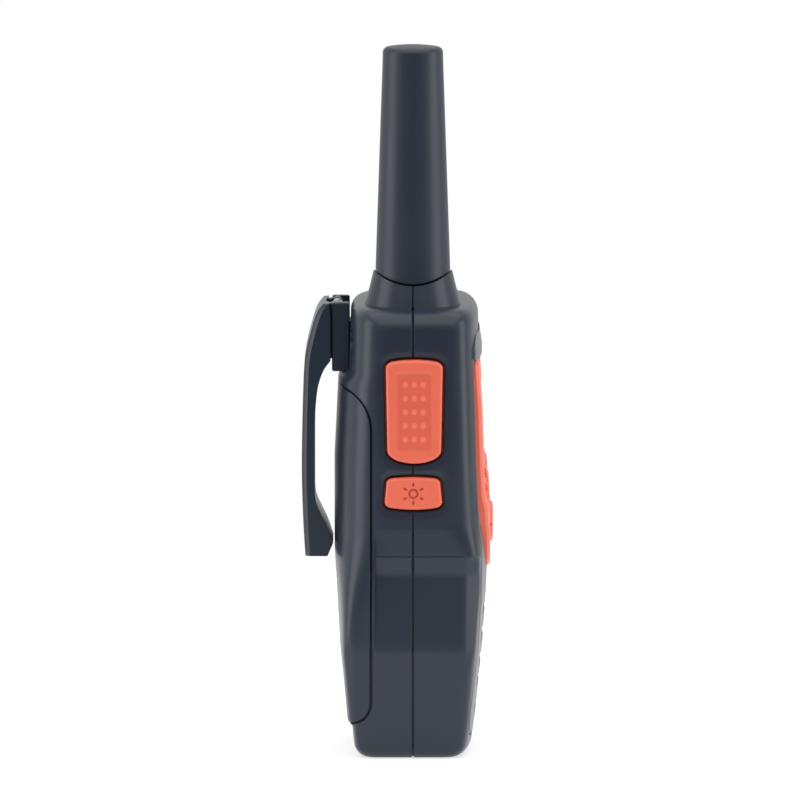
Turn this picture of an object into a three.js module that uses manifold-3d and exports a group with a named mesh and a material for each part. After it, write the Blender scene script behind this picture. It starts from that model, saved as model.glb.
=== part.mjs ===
// Compact two-way radio: two moulded shells, a fixed sleeve antenna, side buttons and a sprung belt clip.
// Millimetres. +Z is up, -Y is the face with the display, -X is the side with the push-to-talk button.
// Depths (Y) are measured from the plane where the two shells meet, heights (Z) from the bottom.
// The last lines shift the whole radio so that its origin is the middle of its footprint.
import * as THREE from 'three';
import { mergeVertices } from 'three/addons/utils/BufferGeometryUtils.js';
import ManifoldModule from 'manifold-3d';

const wasm = await ManifoldModule();
wasm.setup();

// ---------------------------------------------------------------- driving dimensions
const gap = 0.3;                 // clearance kept between neighbouring pieces
const bodyHeight = 103.5;
const halfWidth = 27;
const proud = 1.2;               // how far the side button and the jack cover stand out
const topFillet = 3;
const bottomFillet = 2.6;
const partingGap = 0.15;         // half of the joint line between the two shells

// Outlines of the housing as [height, distance] pairs, straight between the points.
const widthOutline = [[0, 22.3], [25, 26.6], [47.1, 25], [53.6, 26.8], [bodyHeight, halfWidth]];
const rearOutline = [
  [0, 13.2], [8, 15], [25, 16.6], [47.1, 18], [68, 18], [86.5, 17.1], [88.5, 14.7], [bodyHeight, 14.2],
];
const frontOutline = [[0, 13.2], [8, 14.35], [25, 15.95], [47.1, 16.85], [68, 16], [bodyHeight, 14.9]];
const bezelOutline = [[43, 17.8], [68, 16.6], [80, 16.2], [91.5, 15.4]];
const browOutline = [[91, 15.9], [93.5, 15.9], [97.5, 15.3]];
const rearSquareness = 4;        // superellipse powers of the section behind and before the parting plane
const frontSquareness = 5;
const ringPoints = 24;

// Thicknesses, measured inwards from the housing's outer surface.
const sideWall = 2.2;
const rearWall = 2.2;
const plateThickness = 1.6;
const plateSeat = plateThickness + gap;
const frontWall = plateSeat + 1.6;
const doorThickness = 1.6;
const doorSeat = doorThickness + gap;
const doorLedge = doorSeat + 1.5;
const bezelUnder = 0.6;
const bezelSeat = bezelUnder + gap;

// Antenna and the collar it stands in.
const antennaX = -9;
const antennaTop = 163;
const antennaBaseRadius = 8.6;
const antennaTipRadius = 6.9;
const seamLow = 108.3;           // the seam dips at the sides and rises at the front and rear
const seamRise = 3;
const collarSeamRadius = 9;
const collarBaseRadius = 11;
const spigotRadius = 6.3;

// Face plate, display and keys.
const plateHalfWidth = 21;
const plateLow = 5;
const plateHigh = 97.5;
const bezelHalfWidth = 20.4;
const bezelLow = 43;
const bezelHigh = 91.5;
const windowHalfWidth = 16;
const windowLow = 68;
const windowHigh = 86;
const keyRowHeight = 60.2;
const keyRowPitch = 10.5;
const keyHalfWidth = 4;
const keyHalfHeight = 2.4;
const keyRowFace = -17.5;
const rockerHeight = 52.25;
const rockerHalfWidth = 7.2;
const rockerHalfHeight = 4.75;
const rockerFace = -18.4;
const keyFlangeFront = -12.1;
const keyFlangeRear = -11.5;

// Speaker in the lower front.
const speakerHeight = 23.5;
const speakerRadius = 11.5;
const speakerOpening = 9.4;
const grilleBars = [[11.2, 16.3], [17.7, 20.7], [22.8, 26.5], [28.8, 32.7]];
const grilleHalfWidth = 15;
const grilleDepth = 0.8;

// Side buttons on -X: outline of each in the Y-Z plane.
const pttOutline = { middle: -0.3, low: 68.7, high: 92.5, lowHalf: 6.1, highHalf: 6.5, bow: 0.5, corner: 2 };
const lightOutline = { middle: -0.1, low: 57.8, high: 65.7, lowHalf: 6.55, highHalf: 6.15, bow: 0.4, corner: 1.2 };
const pttFace = -(halfWidth + proud);
const lightProud = 0.8;
const lightFace = -(halfWidth + lightProud);
const buttonFlangeX = -24;
const buttonFlangeThickness = 0.8;

// Jacks and their cover on +X.
const jackCover = { halfDepth: 4.5, low: 70, high: 91, inner: 26.3 };
const jackHeights = { charge_jack: 76, audio_jack: 85 };

// Battery compartment behind the door.
const cellRadius = 5.25;
const cellLength = 44.5;
const cellPitch = 12;
const cellDepth = 8.2;
const cellMiddle = 43.35;
const bayHalfWidth = 17.6;
const bayFloor = 2.4;
const bayHalfHeight = 26.15;
const trayWall = 1.1;
const doorEdge = 9.6;            // the door covers everything further back than this
const doorTop = 85;
const doorBottom = 8;
const latchHalfWidth = 6.5;
const latchTop = 13.5;
const latchTravel = 2.2;
const latchFront = 13.9;

// Belt clip.
const pinY = 17.3;
const pinZ = 102.4;
const pinRadius = 0.7;
const pinBore = 0.8;
const barrelRadius = 1.3;
const clipHalfWidth = 9.5;
const bracketHalfWidth = 9;
const bracketFront = 14.5;
const bracketRear = 18.56;
const bracketLow = 87.8;
const bracketHigh = 103.7;
const railStemHalf = 4;
const railHeadHalf = 6.5;
const railHead = [15.8, 16.8];
const railHeights = [88.6, 99];
const clipInnerFace = 18.9;
const clipRearmost = 25.5;
const springCoilRadius = 1.45;
const springWireRadius = 0.25;
const clipTop = 103.4;
const springRoomHalf = 3.6;
const eyeInner = 3.6;            // the arm's eyes on the pin, from the middle outwards
const eyeOuter = 6.5;
const cheekInner = 6.8;          // the bracket's cheeks outside them
const pinHalfLength = 8.4;
const eyeFloor = 100.8;          // where the bracket ends under the eyes and under the coil
const coilFloor = 100.4;

// ---------------------------------------------------------------- materials
const finish = (color, roughness, metalness = 0) => new THREE.MeshStandardMaterial({ color, roughness, metalness });
const housingPlastic = finish(0x2b333d, 0.55);
const orangePlastic = finish(0xec6a55, 0.45);
const greyPlastic = finish(0x8a8c8b, 0.5);
const lensPlastic = finish(0x9fb0b4, 0.1);
const displayGlass = finish(0x7f8c78, 0.3);
const boardLaminate = finish(0x1f5a3c, 0.6);
const blackRubber = finish(0x23262a, 0.8);
const softRubber = finish(0xd9d9d2, 0.8);
const springSteel = finish(0xb9bcc0, 0.3, 1);
const tinPlate = finish(0xc6c8ca, 0.35, 1);
const wireCopper = finish(0xb87333, 0.35, 1);
const cellJacket = finish(0x4a4f57, 0.4);
const meshCloth = finish(0x17181a, 0.9);

// ---------------------------------------------------------------- solids
// A closed mesh with merged corners, no flat triangles and its faces pointing out becomes a solid.
function solid(geometry) {
  const bare = geometry.clone();
  bare.deleteAttribute('normal');
  bare.deleteAttribute('uv');
  const merged = mergeVertices(bare, 1e-4);
  const corners = merged.attributes.position;
  const kept = [];
  let volume = 0;
  for (let i = 0; i < merged.index.count; i += 3) {
    const [a, b, c] = [0, 1, 2].map((k) => merged.index.getX(i + k));
    if (a === b || b === c || c === a) continue;
    kept.push(a, b, c);
    const [p, q, r] = [a, b, c].map((k) => new THREE.Vector3().fromBufferAttribute(corners, k));
    volume += p.dot(q.cross(r));
  }
  if (volume < 0) kept.reverse();
  const vertProperties = new Float32Array(corners.array);
  return new wasm.Manifold(new wasm.Mesh({ numProp: 3, vertProperties, triVerts: new Uint32Array(kept) }));
}

function geometryOf(manifold) {
  const mesh = manifold.getMesh();
  const geometry = new THREE.BufferGeometry();
  geometry.setAttribute('position', new THREE.BufferAttribute(mesh.vertProperties, 3));
  geometry.setIndex(new THREE.BufferAttribute(mesh.triVerts, 1));
  geometry.computeVertexNormals();
  return geometry;
}

const joined = (first, ...others) => others.reduce((sum, other) => sum.add(other), first);
const without = (first, ...others) => others.reduce((rest, other) => rest.subtract(other), first);

function box(low, high) {
  const size = high.map((value, i) => value - low[i]);
  const middle = high.map((value, i) => (value + low[i]) / 2);
  return solid(new THREE.BoxGeometry(...size).translate(...middle));
}

// Where an outline drawn on paper (right, up, towards the reader) lies for each extrusion axis.
const paperToAxis = {
  x: new THREE.Matrix4().makeBasis(
    new THREE.Vector3(0, 1, 0), new THREE.Vector3(0, 0, 1), new THREE.Vector3(1, 0, 0)),
  y: new THREE.Matrix4().makeBasis(
    new THREE.Vector3(1, 0, 0), new THREE.Vector3(0, 0, 1), new THREE.Vector3(0, -1, 0)),
  z: new THREE.Matrix4(),
};

// Extrudes an outline along an axis: a Y-Z outline along x, an X-Z outline along y, an X-Y outline along z.
function prism(axis, shape, from, to, bevel = 0, curveSegments = 4) {
  const settings = {
    depth: to - from - 2 * bevel,
    curveSegments,
    bevelEnabled: bevel > 0,
    bevelThickness: bevel,
    bevelSize: bevel,
    bevelOffset: -bevel,
    bevelSegments: 1,
  };
  const geometry = new THREE.ExtrudeGeometry(shape, settings);
  geometry.translate(0, 0, (axis === 'y' ? -to : from) + bevel);
  return solid(geometry.applyMatrix4(paperToAxis[axis]));
}

function circle(middle, radius, segments = 20) {
  const points = [];
  for (let i = 0; i < segments; i += 1) {
    const angle = (2 * Math.PI * i) / segments;
    points.push(new THREE.Vector2(middle[0] + radius * Math.cos(angle), middle[1] + radius * Math.sin(angle)));
  }
  return new THREE.Shape(points);
}

const rod = (axis, middle, radius, from, to, segments) => prism(axis, circle(middle, radius, segments), from, to);

function roundedRectangle(left, low, right, high, corner) {
  const shape = new THREE.Shape();
  shape.moveTo(left + corner, low);
  shape.lineTo(right - corner, low);
  shape.absarc(right - corner, low + corner, corner, -Math.PI / 2, 0);
  shape.lineTo(right, high - corner);
  shape.absarc(right - corner, high - corner, corner, 0, Math.PI / 2);
  shape.lineTo(left + corner, high);
  shape.absarc(left + corner, high - corner, corner, Math.PI / 2, Math.PI);
  shape.lineTo(left, low + corner);
  shape.absarc(left + corner, low + corner, corner, Math.PI, Math.PI * 1.5);
  return shape;
}

// A solid of revolution about an upright axis, from [radius, height] points that start and end on it.
function revolved(points, segments, x = 0, y = 0) {
  const outline = points.map(([radius, height]) => new THREE.Vector2(radius, height));
  const geometry = new THREE.LatheGeometry(outline, segments);
  geometry.rotateX(Math.PI / 2);
  return solid(geometry.translate(x, y, 0));
}

// ---------------------------------------------------------------- the housing's form
function distanceAt(outline, height) {
  const last = outline.length - 1;
  if (height <= outline[0][0]) return outline[0][1];
  if (height >= outline[last][0]) return outline[last][1];
  const i = outline.findIndex((point) => point[0] > height) - 1;
  const [z0, d0] = outline[i];
  const [z1, d1] = outline[i + 1];
  return d0 + ((d1 - d0) * (height - z0)) / (z1 - z0);
}

// One level's outline: a superellipse that is squarer in front of the parting plane than behind it.
function housingRing(z, front, inset) {
  const side = distanceAt(widthOutline, z) - inset.side;
  const rear = distanceAt(rearOutline, z) - inset.rear;
  const face = distanceAt(front, z) - inset.front;
  const ring = [];
  for (let i = 0; i < ringPoints; i += 1) {
    const angle = (2 * Math.PI * i) / ringPoints;
    const c = Math.cos(angle);
    const s = Math.sin(angle);
    const power = 2 / (s > 0 ? rearSquareness : frontSquareness);
    const depth = s > 0 ? rear : face;
    ring.push([side * Math.sign(c) * Math.abs(c) ** power, depth * Math.sign(s) * Math.abs(s) ** power, z]);
  }
  return ring;
}

// The solid between two heights inside the housing's surface, set in by a distance on each side.
// Its front can follow another outline, such as the bezel's.
function housingForm(options) {
  const {
    side = 0, front = 0, rear = 0, low = 0, high = bodyHeight, face = frontOutline, rounded = false,
  } = options;
  const breaks = [widthOutline, rearOutline, face].flat().map((point) => point[0]);
  const levels = new Map([low, ...breaks.filter((z) => z > low + 0.5 && z < high - 0.5), high].map((z) => [z, 0]));
  if (rounded) {
    levels.delete(high);
    for (const degrees of [0, 30, 60, 90]) {
      const angle = THREE.MathUtils.degToRad(degrees);
      levels.set(high - topFillet * (1 - Math.sin(angle)), topFillet * (1 - Math.cos(angle)));
    }
    for (const degrees of [0, 45, 90]) {
      const angle = THREE.MathUtils.degToRad(degrees);
      levels.set(low + bottomFillet * (1 - Math.sin(angle)), bottomFillet * (1 - Math.cos(angle)));
    }
  }
  const heights = [...levels.keys()].sort((a, b) => a - b);
  const rings = heights.map((z) => {
    const extra = levels.get(z);
    return housingRing(z, face, { side: side + extra, front: front + extra, rear: rear + extra });
  });
  const corners = [...rings.flat(), [0, 0, heights[0]], [0, 0, heights[heights.length - 1]]];
  const under = corners.length - 2;
  const over = corners.length - 1;
  const lastRing = (rings.length - 1) * ringPoints;
  const index = [];
  for (let i = 0; i < ringPoints; i += 1) {
    const next = (i + 1) % ringPoints;
    for (let base = 0; base < lastRing; base += ringPoints) {
      index.push(base + i, base + next, base + ringPoints + next);
      index.push(base + i, base + ringPoints + next, base + ringPoints + i);
    }
    index.push(under, next, i, over, lastRing + i, lastRing + next);
  }
  const geometry = new THREE.BufferGeometry();
  geometry.setAttribute('position', new THREE.Float32BufferAttribute(corners.flat(), 3));
  geometry.setIndex(index);
  return solid(geometry);
}

const outerForm = housingForm({ rounded: true });
const innerForm = housingForm({ side: sideWall, front: frontWall, rear: rearWall, low: 2.2, high: bodyHeight - 2 });
const everywhere = 60;
const frontHalf = box([-everywhere, -everywhere, -5], [everywhere, -partingGap, 130]);
const rearHalf = box([-everywhere, partingGap, -5], [everywhere, everywhere, 130]);

// ---------------------------------------------------------------- outlines shared by several pieces
// A side button: its ends bow outwards and it can be wider at one end.
function buttonShape({ middle, low, high, lowHalf, highHalf, bow, corner }, grow) {
  const y0 = lowHalf + grow;
  const y1 = highHalf + grow;
  const z0 = low - grow;
  const z1 = high + grow;
  const r = corner + grow;
  const shape = new THREE.Shape();
  shape.moveTo(middle - y0 + r, z0 + bow);
  shape.quadraticCurveTo(middle, z0 - bow, middle + y0 - r, z0 + bow);
  shape.quadraticCurveTo(middle + y0, z0 + bow, middle + y0, z0 + bow + r);
  shape.lineTo(middle + y1, z1 - bow - r);
  shape.quadraticCurveTo(middle + y1, z1 - bow, middle + y1 - r, z1 - bow);
  shape.quadraticCurveTo(middle, z1 + bow, middle - y1 + r, z1 - bow);
  shape.quadraticCurveTo(middle - y1, z1 - bow, middle - y1, z1 - bow - r);
  shape.lineTo(middle - y0, z0 + bow + r);
  shape.quadraticCurveTo(middle - y0, z0 + bow, middle - y0 + r, z0 + bow);
  return shape;
}

// The bezel is straight-sided down to its keys, then closes in a U.
function bezelShape(grow) {
  const half = bezelHalfWidth + grow;
  const top = bezelHigh + grow;
  const bottom = bezelLow - grow;
  const shoulder = 58;
  const corner = 2;
  const shape = new THREE.Shape();
  shape.moveTo(-8, bottom);
  shape.lineTo(8, bottom);
  shape.bezierCurveTo(14, bottom, half, shoulder - 7, half, shoulder);
  shape.lineTo(half, top - corner);
  shape.absarc(half - corner, top - corner, corner, 0, Math.PI / 2);
  shape.lineTo(-half + corner, top);
  shape.absarc(-half + corner, top - corner, corner, Math.PI / 2, Math.PI);
  shape.lineTo(-half, shoulder);
  shape.bezierCurveTo(-half, shoulder - 7, -14, bottom, -8, bottom);
  return shape;
}

// Seen from the side, the door's edge curves in from the rear at the top, runs down and curves out again.
function doorShape(grow) {
  const edge = doorEdge - grow;
  const top = doorTop + grow;
  const bottom = doorBottom - grow;
  const beyond = 40;
  const shape = new THREE.Shape();
  shape.moveTo(beyond, bottom);
  shape.lineTo(15, bottom);
  shape.quadraticCurveTo(edge, bottom + 0.5, edge, 13.4);
  shape.lineTo(edge, 76);
  shape.absellipse(17, 76, 17 - edge, top - 76, Math.PI, Math.PI / 2, true);
  shape.lineTo(beyond, top);
  return shape;
}

function rockerShape(grow) {
  const sides = 20;
  const points = [];
  for (let i = 0; i < sides; i += 1) {
    const angle = (2 * Math.PI * i) / sides;
    const x = (rockerHalfWidth + grow) * Math.cos(angle);
    points.push(new THREE.Vector2(x, rockerHeight + (rockerHalfHeight + grow) * Math.sin(angle)));
  }
  return new THREE.Shape(points);
}

const keyRowX = { key_mode: -keyRowPitch, key_power: 0, key_call: keyRowPitch };
const keyShape = (x, grow) => roundedRectangle(
  x - keyHalfWidth - grow, keyRowHeight - keyHalfHeight - grow,
  x + keyHalfWidth + grow, keyRowHeight + keyHalfHeight + grow, 1.4 + grow);

const windowPrism = (grow) => prism('y', roundedRectangle(
  -windowHalfWidth - grow, windowLow - grow, windowHalfWidth + grow, windowHigh + grow, 1.5), -everywhere, 0);

// Holes for the keys, from the front through to the inside.
function keyHoles() {
  const row = Object.values(keyRowX).map((x) => prism('y', keyShape(x, gap), -everywhere, -9, 0, 2));
  return joined(prism('y', rockerShape(gap), -everywhere, -9), ...row);
}

const microphoneAt = [12, 41];
const microphoneHole = rod('y', microphoneAt, 0.7, -everywhere, -9, 8);
const screwPlaces = [
  { name: 'housing_screw_top_left', x: -15.5, z: 95.8, headSeat: 10.5, tip: -8.5 },
  { name: 'housing_screw_top_right', x: 15.5, z: 95.8, headSeat: 10.5, tip: -8.5 },
  { name: 'housing_screw_bottom_left', x: -20.4, z: 24, headSeat: 7.5, tip: -8.5 },
  { name: 'housing_screw_bottom_right', x: 20.4, z: 24, headSeat: 7.5, tip: -8.5 },
];
const screwShankRadius = 1.25;
const screwHeadRadius = 2.3;
const screwPostRadius = 2.8;

// ---------------------------------------------------------------- cuts that both shells share
function sideOpenings() {
  const ptt = prism('x', buttonShape(pttOutline, gap), -everywhere, -20, 0, 3);
  const light = prism('x', buttonShape(lightOutline, gap), -everywhere, -20, 0, 3);
  const { halfDepth, low, high, inner } = jackCover;
  const coverSeat = box([inner - gap, -halfDepth - gap, low - gap], [everywhere, halfDepth + gap, high + gap]);
  const ports = Object.values(jackHeights).map((z) => rod('x', [0, z], 1.9, 20, everywhere, 16));
  return joined(ptt, light, coverSeat, ...ports);
}

// The collar is a short cone on top of the housing, and the antenna's spigot goes down inside it.
function collar() {
  const low = bodyHeight - 2.5;
  const flare = [
    [0, low], [collarBaseRadius, low], [collarBaseRadius, bodyHeight], [9.9, bodyHeight + 4],
    [collarSeamRadius, seamLow + seamRise], [collarSeamRadius, 113], [0, 113],
  ];
  return revolved(flare, 20, antennaX);
}

const spigotBore = rod('z', [antennaX, 0], spigotRadius + gap, 95, 115, 20);

// Everything above the seam: a saddle that is lowest at the sides.
function aboveSeam(lift) {
  const half = 14;
  const shape = new THREE.Shape();
  shape.moveTo(half, 170);
  shape.lineTo(-half, 170);
  const steps = 10;
  for (let i = 0; i <= steps; i += 1) {
    const y = -half + (2 * half * i) / steps;
    shape.lineTo(y, seamLow + lift + seamRise * (y / collarSeamRadius) ** 2);
  }
  return prism('x', shape, antennaX - half, antennaX + half);
}

const screwPost = ({ x, z }, from, to) => rod('y', [x, z], screwPostRadius, from, to, 10);
const screwHole = ({ x, z }, from, to) => rod('y', [x, z], screwShankRadius + gap, from, to, 8);

// ---------------------------------------------------------------- shells
function plateShape(grow) {
  return roundedRectangle(
    -plateHalfWidth - grow, plateLow - grow, plateHalfWidth + grow, plateHigh + grow, 5 + grow);
}

function frontShell() {
  const posts = screwPlaces.map((place) => screwPost(place, -14, -0.4).intersect(outerForm));
  const holes = screwPlaces.map((place) => screwHole(place, -10.2, 1));
  const plateFloor = housingForm({ front: plateSeat });
  const plateRecess = prism('y', plateShape(gap), -everywhere, -5, 0, 3).subtract(plateFloor);
  const wall = joined(outerForm.subtract(innerForm), ...posts, collar());
  return without(
    wall.intersect(frontHalf), plateRecess, ...holes, spigotBore, aboveSeam(0), sideOpenings(),
    rod('y', [0, speakerHeight], speakerOpening, -everywhere, -9, 20),
    windowPrism(-1.6), keyHoles(), microphoneHole);
}

// The door's seat, the ledge under it and the tray that holds the cells.
function rearShell() {
  const doorZone = prism('x', doorShape(gap / 2), -everywhere, everywhere, 0, 5).subtract(
    housingForm({ side: doorSeat, rear: doorSeat, front: 8 }));
  const ledge = housingForm({ side: doorSeat, rear: doorSeat, front: 8, low: 3 }).subtract(
    housingForm({ side: doorLedge, rear: doorLedge, front: 9, low: 3.4 }));
  const ledgeZone = prism('x', doorShape(2), -everywhere, everywhere, 0, 3);
  const trayLow = cellMiddle - bayHalfHeight - trayWall;
  const trayHigh = cellMiddle + bayHalfHeight + trayWall;
  const trayHalf = bayHalfWidth + trayWall;
  const tray = box([-trayHalf, bayFloor - 1.2, trayLow], [trayHalf, 20, trayHigh]).intersect(
    housingForm({ side: doorSeat, rear: doorSeat }));
  const bay = box(
    [-bayHalfWidth, bayFloor, cellMiddle - bayHalfHeight], [bayHalfWidth, everywhere, cellMiddle + bayHalfHeight]);
  const posts = screwPlaces.map((place) => screwPost(place, 0.4, place.headSeat + 1).intersect(outerForm));
  const holes = screwPlaces.map((place) => joined(
    screwHole(place, -1, 30), rod('y', [place.x, place.z], screwHeadRadius + gap, place.headSeat, 30, 10)));
  const pocketHalf = bracketHalfWidth + gap;
  const pocket = box([-pocketHalf, bracketFront - gap, bracketLow - gap], [pocketHalf, 40, 110]);
  const railStem = box([-railStemHalf, 13.4, railHeights[0]], [railStemHalf, railHead[0] + 0.1, railHeights[1]]);
  const railHeadBar = box([-railHeadHalf, railHead[0], railHeights[0]], [railHeadHalf, railHead[1], railHeights[1]]);
  const wall = joined(outerForm.subtract(innerForm), collar()).subtract(doorZone).subtract(pocket);
  const whole = joined(wall, ledge.intersect(ledgeZone), tray, ...posts).intersect(rearHalf);
  return joined(
    without(whole, bay, ...holes, spigotBore, aboveSeam(0), sideOpenings(), latchSocket()), railStem, railHeadBar);
}

// ---------------------------------------------------------------- battery door and its latch
// The latch fills a notch in the door's lower edge, and its tongue reaches down behind the rear shell's wall.
const latchTongue = { halfWidth: 4, low: 6.6, front: 12.2, rear: 13 };

function latchSocket() {
  const { halfWidth: half, low, front } = latchTongue;
  return box([-half - gap, front - gap, low - gap], [half + gap, latchFront + gap, latchTop + latchTravel + 1]);
}

function doorLatch() {
  const { halfWidth: half, low, front, rear } = latchTongue;
  const bottom = doorBottom + gap;
  const surface = housingForm({ side: 0.2, rear: 0.2 });
  const thumbPiece = box([-latchHalfWidth, latchFront, bottom], [latchHalfWidth, 20, latchTop]).intersect(surface);
  const grooves = [10, 11.2, 12.4].map((z) => box([-4.5, 14.9, z - 0.25], [4.5, 20, z + 0.25]));
  const tongue = box([-half, front, low], [half, rear, latchTop - 1]);
  const neck = box([-half, rear - 0.2, bottom + 1], [half, latchFront + 0.2, latchTop - 1]);
  return joined(without(thumbPiece, ...grooves), neck, tongue);
}

function batteryDoor() {
  const skin = outerForm.subtract(housingForm({ side: doorThickness, rear: doorThickness, front: 8, low: 0.5 }));
  const notchTop = latchTop + latchTravel + gap;
  const notch = box([-latchHalfWidth - gap, 5, 0], [latchHalfWidth + gap, 40, notchTop]);
  return skin.intersect(prism('x', doorShape(-gap / 2), -everywhere, everywhere, 0, 5)).subtract(notch);
}

// ---------------------------------------------------------------- face plate, bezel, display
function facePlate() {
  const outline = prism('y', plateShape(0), -everywhere, -5, 0, 3);
  const sheet = housingForm({}).subtract(housingForm({ front: plateThickness })).intersect(outline);
  const brow = housingForm({ face: browOutline, low: 80 }).subtract(housingForm({ front: 0.5, low: 75 }));
  const browZone = box([-everywhere, -everywhere, bezelHigh + gap], [everywhere, 0, plateHigh]);
  const bezelRecess = prism('y', bezelShape(gap), -everywhere, -5, 0, 4).subtract(housingForm({ front: bezelSeat }));
  const grooveFloor = housingForm({ front: grilleDepth });
  const grooveEdges = [10.2, ...grilleBars.flat(), 33.9];
  const grooves = [];
  const slots = [];
  for (let i = 0; i < grooveEdges.length; i += 2) {
    const [low, high] = [grooveEdges[i], grooveEdges[i + 1]];
    grooves.push(box([-grilleHalfWidth, -everywhere, low], [grilleHalfWidth, -5, high]).subtract(grooveFloor));
    if (i > 0 && i < grooveEdges.length - 2) {
      const middle = (low + high) / 2;
      slots.push(box([-6, -everywhere, middle - 0.5], [6, -5, middle + 0.5]));
    }
  }
  return without(
    joined(sheet, brow.intersect(outline).intersect(browZone)),
    bezelRecess, ...grooves, ...slots, windowPrism(-1.6), keyHoles(), microphoneHole);
}

function keypadBezel() {
  const outline = prism('y', bezelShape(0), -everywhere, -5, 0, 4);
  const sheet = housingForm({ face: bezelOutline }).subtract(housingForm({ front: bezelUnder })).intersect(outline);
  const lipFace = bezelOutline.map(([z, depth]) => [z, depth + 0.4]);
  const lip = housingForm({ face: lipFace }).subtract(housingForm({ front: 0.2 })).intersect(
    box([-windowHalfWidth, -everywhere, 64], [windowHalfWidth, -5, 66.3]));
  return without(joined(sheet, lip), windowPrism(0), keyHoles());
}

function displayLens() {
  const lensFace = bezelOutline.map(([z, depth]) => [z, depth - 0.2]);
  const under = housingForm({ front: bezelUnder - 0.1 });
  return housingForm({ face: lensFace }).subtract(under).intersect(windowPrism(-gap));
}

// ---------------------------------------------------------------- keys and side buttons
// A row key is a raised pad with a flange behind the shell that keeps it in.
function rowKey(x) {
  const pad = prism('y', keyShape(x, 0), keyRowFace, keyFlangeRear, 0.4, 2);
  const flange = box(
    [x - keyHalfWidth - 0.8, keyFlangeFront, keyRowHeight - keyHalfHeight + 0.4],
    [x + keyHalfWidth + 0.8, keyFlangeRear, keyRowHeight + keyHalfHeight - 0.4]);
  return pad.add(flange);
}

// The up and down keys are the two halves of one oval.
function rockerKey(sign) {
  const oval = prism('y', rockerShape(0), rockerFace, keyFlangeRear, 0.5);
  const near = sign * (gap / 2);
  const heights = (from, to) => [rockerHeight + from, rockerHeight + to].sort((a, b) => a - b);
  const [low, high] = heights(near, sign * 20);
  const half = rockerHalfWidth + 0.8;
  const [flangeLow, flangeHigh] = heights(sign, sign * 3);
  return joined(
    oval.intersect(box([-20, -30, low], [20, 0, high])),
    box([-half, keyFlangeFront, flangeLow], [half, keyFlangeRear, flangeHigh]));
}

function sideButton(outline, face) {
  const flangeRear = buttonFlangeX + buttonFlangeThickness;
  const pad = prism('x', buttonShape(outline, 0), face, flangeRear, 0.4, 3);
  const flange = prism('x', buttonShape(outline, 0.8), buttonFlangeX, flangeRear, 0, 2);
  return pad.add(flange);
}

// ---------------------------------------------------------------- antenna
function antennaCover() {
  const outline = [
    [0, 99], [8.2, 99], [8.2, 100.4], [spigotRadius, 100.4], [spigotRadius, 106], [antennaBaseRadius, 106],
    [antennaBaseRadius, 110.5], [antennaTipRadius + 0.1, antennaTop - 2.4],
    [antennaTipRadius - 0.5, antennaTop - 0.8],
    [antennaTipRadius - 1.6, antennaTop - 0.2], [0, antennaTop],
  ];
  const sleeve = revolved(outline, 24, antennaX);
  const lowerPart = rod('z', [antennaX, 0], spigotRadius, 98, 114, 20);
  const base = rod('z', [antennaX, 0], 8.2, 98, 100.4, 20);
  const shaped = sleeve.intersect(joined(aboveSeam(gap), lowerPart, base));
  return shaped.subtract(rod('z', [antennaX, 0], 3.6, 90, 150, 14));
}

// A wire wound round a rod, drawn as a ribbed rod.
function antennaCoil() {
  const outline = [[0, 96]];
  const ribs = 6;
  const start = 102;
  const pitch = 7.4;
  outline.push([2.2, 96], [2.2, start]);
  for (let i = 0; i < ribs; i += 1) {
    outline.push([3.1, start + pitch * (i + 0.25)], [3.1, start + pitch * (i + 0.5)]);
    outline.push([2.5, start + pitch * (i + 0.75)]);
  }
  outline.push([0, start + pitch * ribs]);
  return revolved(outline, 10, antennaX);
}

// ---------------------------------------------------------------- inside the housing
const boardFront = -9.2;
const boardRear = -8;

function mainBoard() {
  const board = prism('y', roundedRectangle(-21, 38, 21, 92.8, 2), boardFront, boardRear, 0, 3);
  const processor = box([-5, boardRear - 0.2, 45], [5, boardRear + 1.4, 55]);
  const crystal = box([9, boardRear - 0.2, 46], [13, boardRear + 2, 50]);
  return joined(board, processor, crystal);
}

function shieldCan() {
  return box([-13, -7.7, 62], [13, -4.2, 90]).subtract(box([-12.5, -7.8, 62.5], [12.5, -4.7, 89.5]));
}

function keypadMembrane() {
  const sheet = prism('y', roundedRectangle(-16.5, 46, 16.5, 64, 2), -10.2, -9.5, 0, 3);
  const rowSpots = Object.values(keyRowX).map((x) => [x, keyRowHeight]);
  const spots = [...rowSpots, [0, rockerHeight + 2.2], [0, rockerHeight - 2.2]];
  const domes = spots.map((spot) => rod('y', spot, 1.6, -10.45, -10.1, 8));
  return joined(sheet, ...domes);
}

function displayModule() {
  return joined(box([-16, -11.2, 68.3], [16, -9.5, 85.7]), box([-14.2, -11.5, 70], [14.2, -11.1, 84]));
}

// Turned about a front-to-back axis: cone in front, magnet behind.
function speaker() {
  const outline = [
    [0, 10], [3.5, 9.8], [9.8, 10.7], [speakerRadius, 10.7], [speakerRadius, 9.6], [6.5, 7.8], [6.5, 6], [0, 6],
  ];
  const geometry = new THREE.LatheGeometry(outline.map(([r, y]) => new THREE.Vector2(r, -y)), 20);
  return solid(geometry.translate(0, 0, speakerHeight));
}

const sideBoardX = [-19.9, -19.1];

function sideSwitch(z, reach) {
  return joined(box([-20.9, -2.6, z - 3], [-20.2, 2.6, z + 3]), rod('x', [0, z], 1.4, -20.2 - reach, -20.8, 12));
}

function jack(z) {
  return box([18.5, -2.8, z - 2.8], [23.9, 2.8, z + 2.8]).subtract(rod('x', [0, z], 1.3, 19.5, 30, 14));
}

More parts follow.
